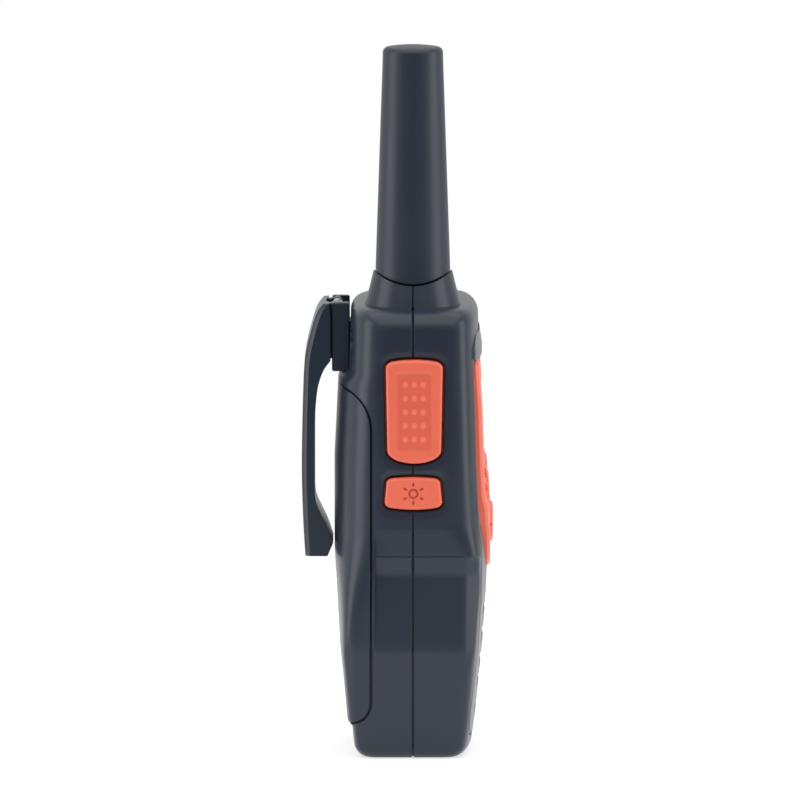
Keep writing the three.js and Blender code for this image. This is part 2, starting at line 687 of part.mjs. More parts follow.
function coverOfJacks() {
  const { halfDepth, low, high, inner } = jackCover;
  const flap = prism(
    'x', roundedRectangle(-halfDepth, low, halfDepth, high, 1.6), inner, halfWidth + proud, 0.4, 3);
  const plugs = Object.values(jackHeights).map((z) => rod('x', [0, z], 1.5, inner - 1.1, inner + 0.6, 14));
  return joined(flap, ...plugs);
}

// ---------------------------------------------------------------- battery cells and contacts
// Neighbouring cells point opposite ways, so up is +1 when the positive end is at the top.
const bayPlaces = { left: [-cellPitch, 1], middle: [0, -1], right: [cellPitch, 1] };

function batteryCell(x, up) {
  const half = cellLength / 2;
  const outline = [
    [0, -half], [cellRadius - 0.5, -half], [cellRadius, -half + 0.5], [cellRadius, half - 1.6],
    [cellRadius - 0.6, half - 1], [1.9, half - 1], [1.9, half], [0, half],
  ];
  const heights = outline.map(([radius, z]) => [radius, cellMiddle + up * z]);
  return revolved(heights, 16, x, cellDepth);
}

// A cone-shaped coil of wire that presses on the cell's flat end.
function contactSpring(x, up) {
  const turns = 3;
  const far = bayHalfHeight - gap - 0.4;
  const near = cellLength / 2 + gap + 0.3;
  const points = [];
  const steps = turns * 10;
  for (let i = 0; i <= steps; i += 1) {
    const part = i / steps;
    const angle = 2 * Math.PI * turns * part;
    const radius = 3.6 - 1.6 * part;
    const z = cellMiddle - up * (far + (near - far) * part);
    points.push(new THREE.Vector3(x + radius * Math.cos(angle), cellDepth + radius * Math.sin(angle), z));
  }
  return wire(points, 0.3, steps);
}

function wire(points, radius, steps) {
  const path = new THREE.CatmullRomCurve3(points);
  return solid(new THREE.ExtrudeGeometry(circle([0, 0], radius, 5), { steps, extrudePath: path }));
}

function contactPlate(x, up) {
  const far = bayHalfHeight - gap;
  const near = cellLength / 2 + gap;
  const slab = [cellMiddle + up * (far - 0.4), cellMiddle + up * far].sort((a, b) => a - b);
  const boss = [cellMiddle + up * near, cellMiddle + up * (far - 0.3)].sort((a, b) => a - b);
  const plate = box([x - 4, cellDepth - 4, slab[0]], [x + 4, cellDepth + 4, slab[1]]);
  return plate.add(rod('z', [x, cellDepth], 1.8, boss[0], boss[1], 12));
}

// ---------------------------------------------------------------- screws
function screw({ x, z, headSeat, tip }) {
  const headBottom = headSeat + gap;
  const shank = rod('y', [x, z], screwShankRadius, tip, headBottom + 0.2, 8);
  const head = rod('y', [x, z], screwHeadRadius, headBottom, headBottom + 1.6, 12);
  const crossLow = headBottom + 0.7;
  const cross = joined(
    box([x - 1.4, crossLow, z - 0.35], [x + 1.4, 30, z + 0.35]),
    box([x - 0.35, crossLow, z - 1.4], [x + 0.35, 30, z + 1.4]));
  return shank.add(head).subtract(cross);
}

// ---------------------------------------------------------------- belt clip
// The bracket slides on the rear shell's rail, and its two cheeks carry the pin.
function clipBracket() {
  const body = prism('x', roundedRectangle(bracketFront, bracketLow, bracketRear, bracketHigh, 0.6),
    -bracketHalfWidth, bracketHalfWidth, 0, 3);
  const slotTop = railHeights[1] + gap;
  const stemSlot = box([-railStemHalf - gap, 10, 80], [railStemHalf + gap, railHead[0], slotTop]);
  const headSlotHalf = railHeadHalf + gap;
  const headSlot = box([-headSlotHalf, railHead[0] - gap, 80], [headSlotHalf, railHead[1] + gap, slotTop]);
  const eyeRoom = box([-cheekInner, 10, eyeFloor], [cheekInner, 30, 110]);
  const coilRoom = box([-springRoomHalf, 10, coilFloor], [springRoomHalf, 30, 110]);
  const bore = rod('x', [pinY, pinZ], pinBore, -pinHalfLength - gap, pinHalfLength + gap, 20);
  return without(body, stemSlot, headSlot, eyeRoom, coilRoom, bore);
}

// Side outline of the arm: a bowed spring arm with a hooked foot at the bottom.
function clipArmShape() {
  const at = (y, z) => new THREE.Vector2(y, z);
  const shape = new THREE.Shape();
  shape.moveTo(24.7, 45.2);
  shape.splineThru([
    at(25.2, 54), at(clipRearmost, 66), at(25.2, 82), at(24.7, 91), at(23.1, 98), at(21.9, 101.5), at(20.5, clipTop)]);
  shape.lineTo(clipInnerFace + 0.4, clipTop);
  shape.lineTo(clipInnerFace, pinZ - 2);
  shape.lineTo(clipInnerFace, 90.2);
  shape.splineThru([at(20.5, 88), at(21.8, 84), at(22.4, 78), at(22.5, 74)]);
  shape.lineTo(22.5, 62);
  shape.splineThru([at(22.3, 58), at(20.95, 54.7), at(19.6, 51.9), at(18.3, 48.2)]);
  shape.lineTo(19.6, 45.2);
  return shape;
}

// Two eyes between the bracket's cheeks turn on the pin, and a channel makes room for the spring.
function clipArm() {
  const arm = prism('x', clipArmShape(), -clipHalfWidth, clipHalfWidth, 0, 4);
  const root = 20.2;
  const eye = new THREE.Shape();
  eye.moveTo(root, pinZ + 0.6);
  eye.lineTo(pinY, pinZ + barrelRadius);
  eye.absarc(pinY, pinZ, barrelRadius, Math.PI / 2, Math.PI * 1.5, false);
  eye.lineTo(root, pinZ - barrelRadius);
  const eyes = [-eyeOuter, eyeInner].map((x) => prism('x', eye, x, x + eyeOuter - eyeInner));
  const channel = new THREE.Shape();
  channel.moveTo(clipInnerFace - 1, 90.5);
  channel.lineTo(22.9, 90.5);
  channel.lineTo(21.2, 97.3);
  channel.lineTo(20.1, 100.6);
  channel.lineTo(19.7, 105);
  channel.lineTo(clipInnerFace - 1, 105);
  const hollow = prism('x', channel, -eyeInner + 0.2, eyeInner - 0.2);
  const bore = rod('x', [pinY, pinZ], pinBore, -20, 20, 20);
  return without(joined(arm, ...eyes), hollow, bore);
}

// The spring is wound round the pin: a long leg presses on the arm, a short one sits in the bracket.
function clipSpring() {
  const turns = 4.5;
  const stepsPerTurn = 10;
  const half = 2.5;
  const points = [new THREE.Vector3(-half, pinY + 3.4, pinZ - 7), new THREE.Vector3(-half, pinY + 2.2, pinZ - 3)];
  for (let i = 0; i <= turns * stepsPerTurn; i += 1) {
    const angle = (2 * Math.PI * i) / stepsPerTurn;
    const x = -half + (2 * half * i) / (turns * stepsPerTurn);
    const y = pinY + springCoilRadius * Math.cos(angle);
    points.push(new THREE.Vector3(x, y, pinZ + springCoilRadius * Math.sin(angle)));
  }
  points.push(new THREE.Vector3(half, pinY - springCoilRadius, pinZ - 1.6));
  return wire(points, springWireRadius, 52);
}

// ---------------------------------------------------------------- assembly
const radio = new THREE.Group();

function add(name, shape, material) {
  const mesh = new THREE.Mesh(geometryOf(shape), material);
  mesh.name = name;
  radio.add(mesh);
}

add('front_shell', frontShell(), housingPlastic);
add('rear_shell', rearShell(), housingPlastic);
add('face_plate', facePlate(), greyPlastic);
add('keypad_bezel', keypadBezel(), orangePlastic);
add('lcd_lens', displayLens(), lensPlastic);
add('lcd_module', displayModule(), displayGlass);
add('main_board', mainBoard(), boardLaminate);
add('rf_shield', shieldCan(), tinPlate);
add('keypad_membrane', keypadMembrane(), softRubber);
add('speaker', speaker(), tinPlate);
add('speaker_cloth', rod('y', [0, speakerHeight], speakerOpening - gap, -12.7, -12.3, 24), meshCloth);
add('microphone', rod('y', microphoneAt, 2, -12.2, -9.5, 14), tinPlate);
add('side_board', box([sideBoardX[0], -6.5, 56], [sideBoardX[1], 6, 93]), boardLaminate);
add('ptt_switch', sideSwitch(80.6, 1.5), blackRubber);
add('light_switch', sideSwitch(61.7, 1.5), blackRubber);
add('antenna_cover', antennaCover(), housingPlastic);
add('antenna_coil', antennaCoil(), wireCopper);

for (const [place, [x, up]] of Object.entries(bayPlaces)) {
  add(`battery_cell_${place}`, batteryCell(x, up), cellJacket);
  add(`battery_spring_${place}`, contactSpring(x, up), springSteel);
  add(`battery_contact_${place}`, contactPlate(x, up), tinPlate);
}

add('battery_door', batteryDoor(), housingPlastic);
add('door_latch', doorLatch(), housingPlastic);
for (const place of screwPlaces) add(place.name, screw(place), springSteel);
for (const [name, z] of Object.entries(jackHeights)) add(name, jack(z), blackRubber);
add('jack_cover', coverOfJacks(), blackRubber);

add('ptt_button', sideButton(pttOutline, pttFace), orangePlastic);
add('light_button', sideButton(lightOutline, lightFace), orangePlastic);
for (const [name, x] of Object.entries(keyRowX)) add(name, rowKey(x), orangePlastic);
add('key_up', rockerKey(1), orangePlastic);
add('key_down', rockerKey(-1), orangePlastic);

add('clip_bracket', clipBracket(), housingPlastic);
add('clip_pin', rod('x', [pinY, pinZ], pinRadius, -pinHalfLength, pinHalfLength, 16), springSteel);
add('clip_spring', clipSpring(), springSteel);
add('clip_arm', clipArm(), housingPlastic);

// The footprint runs from the up and down keys' faces to the clip's rearmost point.
radio.position.set(0, -(clipRearmost + rockerFace) / 2, 0);

export default radio;
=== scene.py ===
"""The looks of the two-way radio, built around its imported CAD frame.

Shapes are worked out in millimetres. X and Z are the frame's, and Y is measured from the plane where the two
shells meet. Each finished piece is then brought into the frame, in metres. +Z is up, -Y is the display side
and -X is the side with the push-to-talk button.
"""
import math

import bpy
import numpy as np
from mathutils import Matrix, Vector
from mathutils.geometry import delaunay_2d_cdt


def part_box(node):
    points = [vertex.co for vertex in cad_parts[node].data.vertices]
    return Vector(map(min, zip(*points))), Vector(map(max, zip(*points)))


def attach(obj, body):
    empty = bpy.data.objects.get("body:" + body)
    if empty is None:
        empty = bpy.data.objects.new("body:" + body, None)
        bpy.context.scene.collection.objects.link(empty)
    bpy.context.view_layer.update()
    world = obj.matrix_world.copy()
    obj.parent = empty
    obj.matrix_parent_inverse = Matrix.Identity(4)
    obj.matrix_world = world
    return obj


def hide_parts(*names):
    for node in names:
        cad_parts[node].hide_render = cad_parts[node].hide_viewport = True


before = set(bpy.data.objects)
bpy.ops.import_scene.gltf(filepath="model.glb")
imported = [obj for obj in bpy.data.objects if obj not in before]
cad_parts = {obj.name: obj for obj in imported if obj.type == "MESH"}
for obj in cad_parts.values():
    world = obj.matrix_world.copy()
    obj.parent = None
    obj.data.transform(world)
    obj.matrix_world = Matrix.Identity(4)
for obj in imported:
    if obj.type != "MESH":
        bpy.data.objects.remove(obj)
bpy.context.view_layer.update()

MILLIMETRE = 0.001
PARTING = (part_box("front_shell")[1].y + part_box("rear_shell")[0].y) / 2
TO_FRAME = Matrix.Translation((0, PARTING, 0)) @ Matrix.Scale(MILLIMETRE, 4)

# ---------------------------------------------------------------- the housing's dimensions
# Outlines are lists of (height, distance from the middle or from the parting plane). WAIST gives the depth
# of the recess.
BODY_HEIGHT = 103.5
WIDTH = [(0, 22.3), (25, 26.6), (53.6, 26.8), (103.5, 27)]
WAIST = [(25, 0), (42.6, 1.1), (43.4, 1.06), (47.1, 0.34), (53.4, 0)]
WAIST_LINE = 47.1                # a fine groove across each side panel
PANEL_EDGE = 8.7                 # the side panels end here, just before the door
REAR = [
    (0, 13.2), (7.7, 14), (8.3, 15), (25, 16.8), (47.1, 18), (68, 18), (86.5, 17.1), (88.5, 14.7),
    (103.5, 14.2)]
FRONT = [(0, 13.2), (8, 14.4), (25, 16.1), (38, 16.95), (47.1, 17.1), (68, 16), (103.5, 14.9)]
BEZEL = [(43, 17.8), (57.5, 17.8), (60, 17), (68, 16.6), (80, 16.2), (91.5, 15.4)]
BROW = [(91, 15.9), (93.5, 15.9), (97.5, 15.3)]
REAR_SIDES = [(0, 13.2), (7.7, 14), (8.3, 15), (25, 16.2), (47.1, 16), (86.5, 14.8), (103.5, 14.2)]
REAR_POWERS = (4, 13)            # the corners are round above and bevelled below
FRONT_POWERS = (6.5, 12)
REAR_BEVEL = [(0, 13.1), (24, 13.1), (46, 15.6), (60, 19)]
FRONT_BEVEL = [(0, 12.9), (8, 12.7), (25, 11.5), (46, 11.8), (54, 18)]
BEVEL_SLOPE = 0.75
FRONT_CROWN = 0.11               # how much nearer the shells' front is at its sides
BEZEL_CROWN = 0.03
TOP_ROUNDINGS = (4.6, 2.7)       # towards the sides, and towards the front and rear
BOTTOM_ROUNDINGS = (2.8, 3.1)
WALL = 2.2
FRONT_WALL = 3.5
GAP = 0.3
BUTTON_GAP = 0.42
PARTING_GAP = 0.14
FAR = 60                         # well outside the housing
DISH_DEPTH = 0.22                # the shallow dishes round the two side buttons
DISH_REACH = 2.2

ANTENNA_X = (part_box("antenna_cover")[0].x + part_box("antenna_cover")[1].x) / 2 / MILLIMETRE
SEAM_LOW = 108.3
SEAM_RISE = 3
COLLAR_SEAM_RADIUS = 9

PTT = {
    "middle": -0.3, "low": 68.7, "high": 92.5, "low_half": 6.15, "high_half": 6.5,
    "low_bow": 0.55, "high_bow": 0.4, "low_corner": 2.6, "high_corner": 1.6,
}
LIGHT = {
    "middle": -0.1, "low": 58.05, "high": 65.55, "low_half": 6.55, "high_half": 6.15,
    "low_bow": 0.45, "high_bow": 0.3, "low_corner": 1.3, "high_corner": 1.2,
}
PTT_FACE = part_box("ptt_button")[0].x / MILLIMETRE
LIGHT_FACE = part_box("light_button")[0].x / MILLIMETRE

DOOR_TOP = 85
DOOR_BOTTOM = 8
KEY_ROW_HEIGHT = 60.2
KEY_ROW = {"key_mode": -10.5, "key_power": 0, "key_call": 10.5}
KEY_HALF = (4, 2.4)
ROCKER_HEIGHT = 52.25
ROCKER_RADII = (7.2, 4.75)
MICROPHONE = (12, 41)
SPEAKER = (0, 23.5)
JACKS = (76, 85)


# ---------------------------------------------------------------- outlines on paper
def bezier(points, steps):
    """Points along a line, quadratic or cubic curve, without its first point."""
    level = [np.array(p, float)[None, :] for p in points]
    t = np.linspace(0, 1, steps + 1)[1:, None]
    while len(level) > 1:
        level = [a * (1 - t) + b * t for a, b in zip(level, level[1:])]
    return level[0]


def path(start, *segments, steps=16):
    """An outline from a start and segments, each a list of the control points that follow."""
    points = [np.array([start], float)]
    for segment in segments:
        points.append(bezier([points[-1][-1], *segment], steps if len(segment) > 1 else 1))
    return np.concatenate(points)


def arc(middle, radii, start, end, steps=16):
    angles = np.radians(np.linspace(start, end, steps + 1))
    return np.stack([middle[0] + radii[0] * np.cos(angles), middle[1] + radii[1] * np.sin(angles)], 1)


def circle(middle, radius, steps=48):
    return arc(middle, (radius, radius), 0, 360, steps)[:-1]


def rounded_rectangle(left, low, right, high, corner, steps=10):
    r = (corner, corner)
    return np.concatenate([
        arc((right - corner, low + corner), r, -90, 0, steps),
        arc((right - corner, high - corner), r, 0, 90, steps),
        arc((left + corner, high - corner), r, 90, 180, steps),
        arc((left + corner, low + corner), r, 180, 270, steps),
    ])


def centred(half, low, high, corner):
    """A rounded rectangle that is as wide to the left as to the right."""
    return rounded_rectangle(-half, low, half, high, corner)


def spline(points, steps=8):
    """A smooth curve through the points."""
    p = np.array([points[0], *points, points[-1]], float)
    out = [p[1][None, :]]
    t = np.linspace(0, 1, steps + 1)[1:, None]
    for a, b, c, d in zip(p, p[1:], p[2:], p[3:]):
        bend = 2 * a - 5 * b + 4 * c - d
        twist = 3 * b - a - 3 * c + d
        out.append(0.5 * (2 * b + (c - a) * t + bend * t ** 2 + twist * t ** 3))
    return np.concatenate(out)


def unit(vectors):
    return vectors / np.linalg.norm(vectors, axis=1)[:, None]


def run_of(line):
    """The distance along a line to each of its points."""
    return np.concatenate([[0], np.cumsum(np.linalg.norm(np.diff(line, axis=0), axis=1))])


def points_at(line, marks):
    run = run_of(line)
    return np.stack([np.interp(marks, run, line[:, k]) for k in range(line.shape[1])], 1)


def spaced(points, spacing, closed=True):
    """The same line with its points at even distances."""
    points = np.array(points, float)
    line = np.concatenate([points, points[:1]]) if closed else points
    length = run_of(line)[-1]
    marks = np.linspace(0, length, max(3, round(length / spacing)) + 1)
    return points_at(line, marks[:-1] if closed else marks)


def spaced_to(line, count):
    """An open line with a number of evenly spaced points."""
    return points_at(line, np.linspace(0, run_of(line)[-1], count))


def counterclockwise(outline):
    x, y = outline[:, 0], outline[:, 1]
    area = np.sum(x * np.roll(y, -1) - np.roll(x, -1) * y)
    return outline if area > 0 else outline[::-1]


def grown(outline, distance):
    """An outline moved outwards, for small distances."""
    outline = counterclockwise(outline)
    along = unit(np.roll(outline, -1, 0) - np.roll(outline, 1, 0))
    return outline + distance * np.stack([along[:, 1], -along[:, 0]], 1)


def distance_to(line, points, closed=True):
    a = np.array(line, float)
    b = np.roll(a, -1, 0)
    if not closed:
        a, b = a[:-1], a[1:]
    ab = b - a
    ap = points[:, None, :] - a[None, :, :]
    t = np.clip(np.sum(ap * ab, 2) / np.maximum(np.sum(ab * ab, 1), 1e-12), 0, 1)
    return np.min(np.linalg.norm(ap - t[:, :, None] * ab, axis=2), axis=1)


def is_inside(line, points):
    a = np.array(line, float)
    b = np.roll(a, -1, 0)
    x, y = points[:, :1], points[:, 1:]
    crosses = (a[:, 1] > y) != (b[:, 1] > y)
    rise = np.where(b[:, 1] == a[:, 1], 1e-12, b[:, 1] - a[:, 1])
    at = a[:, 0] + (y - a[:, 1]) * (b[:, 0] - a[:, 0]) / rise
    return np.sum(crosses & (x < at), axis=1) % 2 == 1


def smoothstep(low, high, value):
    t = np.clip((value - low) / (high - low), 0, 1)
    return t * t * (3 - 2 * t)


def button_end(shape, end, up, grow):
    """One bowed end of a side button with its two rounded corners, from left to right."""
    middle = shape["middle"]
    half = shape[end + "_half"] + grow
    corner = shape[end + "_corner"] + grow
    bow = shape[end + "_bow"]
    run = half - corner
    tip = shape[end] + up * (grow + bow)
    shoulder = tip - 2 * up * bow
    elbow = shoulder - 0.5 * up * corner
    tangent = shoulder - up * corner * bow / run
    side = shoulder - up * corner
    corner_left = [(middle - half, elbow), (middle - run - 0.5 * corner, tangent), (middle - run, shoulder)]
    corner_right = [(middle + run + 0.5 * corner, tangent), (middle + half, elbow), (middle + half, side)]
    bowed = [(middle, tip), (middle + run, shoulder)]
    return path((middle - half, side), corner_left, bowed, corner_right)


def button_outline(shape, grow=0.0):
    """A side button: its ends bow outwards and one end can be wider."""
    low = button_end(shape, "low", -1, grow)
    high = button_end(shape, "high", 1, grow)
    return spaced(np.concatenate([low, high[::-1]]), 0.3)


def bezel_outline(grow=0.0):
    half, top, bottom = 20.4 + grow, 91.5 + grow, 43 - grow
    shoulder, corner = 58, 2
    return spaced(np.concatenate([
        path((-8, bottom), [(8, bottom)], [(14, bottom), (half, shoulder - 7), (half, shoulder)], steps=30),
        arc((half - corner, top - corner), (corner, corner), 0, 90),
        arc((-half + corner, top - corner), (corner, corner), 90, 180),
        path((-half, shoulder), [(-half, shoulder - 7), (-14, bottom), (-8, bottom)], steps=30)[:-1],
    ]), 0.5)


def plate_outline(grow=0.0):
    return spaced(centred(21 + grow, 5 - grow, 97.5 + grow, 5 + grow), 0.6)


def door_edge(grow=0.0):
    """The part of the door's edge that runs on one side, from the bottom rear to the top rear."""
    edge, top, bottom, bend = 9.6 - grow, DOOR_TOP + grow, DOOR_BOTTOM - grow, 76
    return np.concatenate([
        path((15, bottom), [(edge, bottom + 0.5), (edge, 13.4)], [(edge, bend)], steps=12),
        arc((17, bend), (17 - edge, top - bend), 180, 90, 20)[1:],
    ])


def door_outline(grow=0.0):
    side = door_edge(grow)
    return np.concatenate([[(40, side[0, 1])], side, [(40, side[-1, 1])]])


def jack_outline(grow=0.0):
    return centred(4.5 + grow, 70 - grow, 91 + grow, 1.6 + grow)


def key_outline(x, grow=0.0):
    across, up = KEY_HALF[0] + grow, KEY_HALF[1] + grow
    return rounded_rectangle(x - across, KEY_ROW_HEIGHT - up, x + across, KEY_ROW_HEIGHT + up, 1.4 + grow)


def rocker_outline(grow=0.0):
    radii = (ROCKER_RADII[0] + grow, ROCKER_RADII[1] + grow)
    return spaced(arc((0, ROCKER_HEIGHT), radii, 0, 360, 96)[:-1], 0.35)


# ---------------------------------------------------------------- meshes
def signed_volume(points, faces):
    """Six times the volume, which is negative where the faces look inwards."""
    total = 0.0
    for face in faces:
        a = points[face[0]]
        for b, c in zip(face[1:], face[2:]):
            total += np.dot(a, np.cross(points[b], points[c]))
    return total


def mesh_object(points, faces, name="work"):
    points = np.array(points, float)
    if signed_volume(points, faces) < 0:
        faces = [tuple(reversed(face)) for face in faces]
    data = bpy.data.meshes.new(name)
    data.from_pydata(points.tolist(), [], faces)
    data.update()
    obj = bpy.data.objects.new(name, data)
    bpy.context.scene.collection.objects.link(obj)
    return obj


def loft(rings):
    """A closed solid through rings that have equal numbers of points, with flat ends."""
    rings = np.array(rings, float)
    levels, count = rings.shape[:2]
    faces = []
    for level in range(levels - 1):
        for i in range(count):
            j = (i + 1) % count
            low, high = level * count, (level + 1) * count
            faces.append((low + i, low + j, high + j, high + i))
    last = (levels - 1) * count
    faces.append(tuple(reversed(range(count))))
    faces.append(tuple(range(last, last + count)))
    return mesh_object(rings.reshape(-1, 3), faces)


def laid(outline, axis, at):
    """An outline on paper as points in space, across the named axis."""
    outline = np.array(outline, float)
    u, v = outline[:, 0], outline[:, 1]
    w = np.full(len(outline), at, float) if np.isscalar(at) else at
    order = {"x": (w, u, v), "y": (u, w, v), "z": (u, v, w)}
    return np.stack(order[axis], 1)


def prism(axis, outline, start, end):
    return loft([laid(outline, axis, start), laid(outline, axis, end)])


def box(low, high):
    outline = [(low[0], low[1]), (high[0], low[1]), (high[0], high[1]), (low[0], high[1])]
    return prism("z", outline, low[2], high[2])


def bar(half, depths, heights):
    """A box that is as wide to the left as to the right."""
    return box((-half, depths[0], heights[0]), (half, depths[1], heights[1]))


def turned(profile, axis="z", middle=(0, 0), steps=64):
    """A solid of revolution from (radius, distance along the axis) pairs, with flat ends."""
    rings = [laid(circle(middle, radius, steps), axis, along) for radius, along in profile]
    return loft(rings)


def rod(axis, middle, radius, start, end, edge=0.0, steps=48):
    profile = [(radius, start), (radius, end)]
    if edge:
        angles = np.radians([0, 30, 60, 90])
        first = [(radius - edge * (1 - math.sin(a)), start + edge * (1 - math.cos(a))) for a in angles]
        last = [(radius - edge * (1 - math.cos(a)), end - edge * (1 - math.sin(a))) for a in angles]
        profile = first + last
    return turned(profile, axis, middle, steps)


def baked(obj):
    """Applies the object's modifiers."""
    graph = bpy.context.evaluated_depsgraph_get()
    made = bpy.data.meshes.new_from_object(obj.evaluated_get(graph))
    old = obj.data
    obj.modifiers.clear()
    obj.data = made
    bpy.data.meshes.remove(old)
    return obj


def removed(obj):
    data = obj.data
    bpy.data.objects.remove(obj)
    bpy.data.meshes.remove(data)


def combined(target, operation, tools):
    for tool in tools:
        before = len(target.data.vertices)
        modifier = target.modifiers.new("combine", "BOOLEAN")
        modifier.operation = operation
        modifier.solver = "MANIFOLD"
        modifier.object = tool
        baked(target)
        if before and not len(target.data.vertices):
            print("nothing left after a", operation)
        removed(tool)
    return target


def without(target, *tools):
    return combined(target, "DIFFERENCE", tools)


def joined(target, *tools):
    return combined(target, "UNION", tools)


def common(target, *tools):
    return combined(target, "INTERSECT", tools)


def bevelled(obj, width, angle=35, segments=3):
    modifier = obj.modifiers.new("bevel", "BEVEL")
    modifier.width = width
    modifier.segments = segments
    modifier.limit_method = "ANGLE"
    modifier.angle_limit = math.radians(angle)
    modifier.use_clamp_overlap = True
    return baked(obj)


def groove(points, normals, size, closed=True):
    """A bar of diamond section along a line on a surface. Cutting it away breaks a seam's edges."""
    points = np.array(points, float)
    if closed:
        along = np.roll(points, -1, 0) - np.roll(points, 1, 0)
    else:
        along = np.gradient(points, axis=0)
    normals = unit(np.array(normals, float))
    across = unit(np.cross(unit(along), normals))
    rings = np.stack([points + size * way for way in (normals, across, -normals, -across)], 1)
    if not closed:
        return loft(rings)
    count = len(points)
    faces = []
    for i in range(count):
        j = (i + 1) % count
        for k in range(4):
            m = (k + 1) % 4
            faces.append((4 * i + k, 4 * i + m, 4 * j + m, 4 * j + k))
    return mesh_object(rings.reshape(-1, 3), faces)


def pillow(outline, axis, face, base, relief, pitch=0.4, insets=(0.06, 0.15, 0.28, 0.45, 0.7)):
    """A pad with walls along its outline, from base to face. Its top follows relief(points, distance)."""
    outline = counterclockwise(np.array(outline, float))
    rings = [outline] + [grown(outline, -inset) for inset in insets]
    low, high = outline.min(0), outline.max(0)
    grid = np.stack(np.meshgrid(np.arange(low[0], high[0], pitch), np.arange(low[1], high[1], pitch)), 2)
    grid = grid.reshape(-1, 2) + pitch / 2
    keep = is_inside(outline, grid)
    keep[keep] = distance_to(outline, grid[keep]) > insets[-1] + 0.45 * pitch
    flat = np.concatenate([*rings, grid[keep]])
    count = len(outline)
    edges = [(i, (i + 1) % count) for i in range(count)]
    verts, _, faces, _, _, _ = delaunay_2d_cdt([Vector(p) for p in flat], edges, [], 1, 1e-5)
    top = np.array([tuple(v) for v in verts])
    sign = 1 if face > base else -1
    heights = face + sign * relief(top, distance_to(outline, top))
    points = list(laid(top, axis, heights))
    faces = [tuple(f) for f in faces]
    follows = dict.fromkeys((a, b) for f in faces for a, b in zip(f, f[1:] + f[:1]))
    border = {a: b for a, b in follows if (b, a) not in follows}
    start = next(iter(border))
    loop = [start]
    while border[loop[-1]] != start:
        loop.append(border[loop[-1]])
    under = {}
    for index in loop:
        under[index] = len(points)
        points.append(laid([top[index]], axis, base)[0])
    walls = [(b, a, under[a], under[b]) for a, b in zip(loop, loop[1:] + loop[:1])]
    bottom = tuple(under[i] for i in reversed(loop))
    return mesh_object(points, faces + walls + [bottom])


def rounded_edge(distance, radius):
    """How far a rounded edge lies below its face."""
    inner = np.clip(radius - distance, 0, radius)
    return np.sqrt(np.maximum(radius ** 2 - inner ** 2, 0)) - radius


def coil(points, radius, sides=10):
    """A wire along a line."""
    points = np.array(points, float)
    along = unit(np.gradient(points, axis=0))
    side = np.cross(along[0], (0.3, 0.5, 0.8))
    rings = []
    for point, direction in zip(points, along):
        side = side - np.dot(side, direction) * direction
        side /= np.linalg.norm(side)
        other = np.cross(direction, side)
        angles = np.linspace(0, 2 * math.pi, sides, endpoint=False)[:, None]
        rings.append(point + radius * (np.cos(angles) * side + np.sin(angles) * other))
    return loft(rings)


# ---------------------------------------------------------------- the housing's surface
def at_height(outline, z, softness=0.5):
    """A distance from an outline of (height, distance) pairs, with its corners slightly rounded."""
    heights, distances = np.array(outline, float).T
    offsets = np.linspace(-softness, softness, 7)
    return np.mean([np.interp(np.asarray(z) + o, heights, distances) for o in offsets], axis=0)


def rounding_at(z, way):
    """How far the rounded top and bottom draw in the sides (way 0), or the front and the rear (way 1)."""
    z = np.asarray(z, float)
    top, bottom = TOP_ROUNDINGS[way], BOTTOM_ROUNDINGS[way]
    over = np.clip(z - (BODY_HEIGHT - top), 0, top)
    under = np.clip(bottom - z, 0, bottom)
    return top - np.sqrt(top ** 2 - over ** 2) + bottom - np.sqrt(bottom ** 2 - under ** 2)


PTT_OUTLINE = button_outline(PTT)
LIGHT_OUTLINE = button_outline(LIGHT)


def hollows(y, z):
    """How deep the shallow dishes round the two side buttons are."""
    points = np.stack([np.ravel(y), np.ravel(z)], 1)
    depth = np.zeros(len(points))
    for outline in (PTT_OUTLINE, LIGHT_OUTLINE):
        near = np.all((points > outline.min(0) - 3) & (points < outline.max(0) + 3), axis=1)
        distance = distance_to(outline, points[near])
        distance[is_inside(outline, points[near])] = 0
        depth[near] = np.maximum(depth[near], DISH_DEPTH * (1 - smoothstep(0.1, DISH_REACH, distance)))
    return depth.reshape(np.shape(y))


def side_drop(y, z, left):
    """How far the side panels lie inside the plain section: the waist, and the dishes on the left."""
    drop = np.where(y < PANEL_EDGE, at_height(WAIST, z, 0.2), 0)
    return drop + np.where(left, hollows(y, z), 0)


def half_sizes(z, inset=(0, 0, 0), face=FRONT, rounded=True):
    side = at_height(WIDTH, z, 1.2) - inset[0]
    rear = at_height(REAR, z) - inset[1]
    front = at_height(face, z) - inset[2]
    if rounded:
        side = side - rounding_at(z, 0)
        rear = rear - rounding_at(z, 1)
        front = front - rounding_at(z, 1)
    return side, rear, front


def rear_power(z):
    above, below = REAR_POWERS
    return above + (below - above) * smoothstep(52, 20, z)


def front_power(z):
    above, below = FRONT_POWERS
    return above + (below - above) * smoothstep(55, 45, z)


def bevel_start(z, is_rear, rounded=True):
    """How far from the parting plane the lower corners' bevels begin."""
    start = np.where(is_rear, at_height(REAR_BEVEL, z), at_height(FRONT_BEVEL, z))
    return start - rounding_at(z, 1) if rounded else start


def rear_crown(z):
    """How much nearer the rear is at its sides: the door's raised middle fades out towards them."""
    return 1 - at_height(REAR_SIDES, z) / at_height(REAR, z)


def crown_of(face):
    return BEZEL_CROWN if face[0][0] == BEZEL[0][0] else FRONT_CROWN


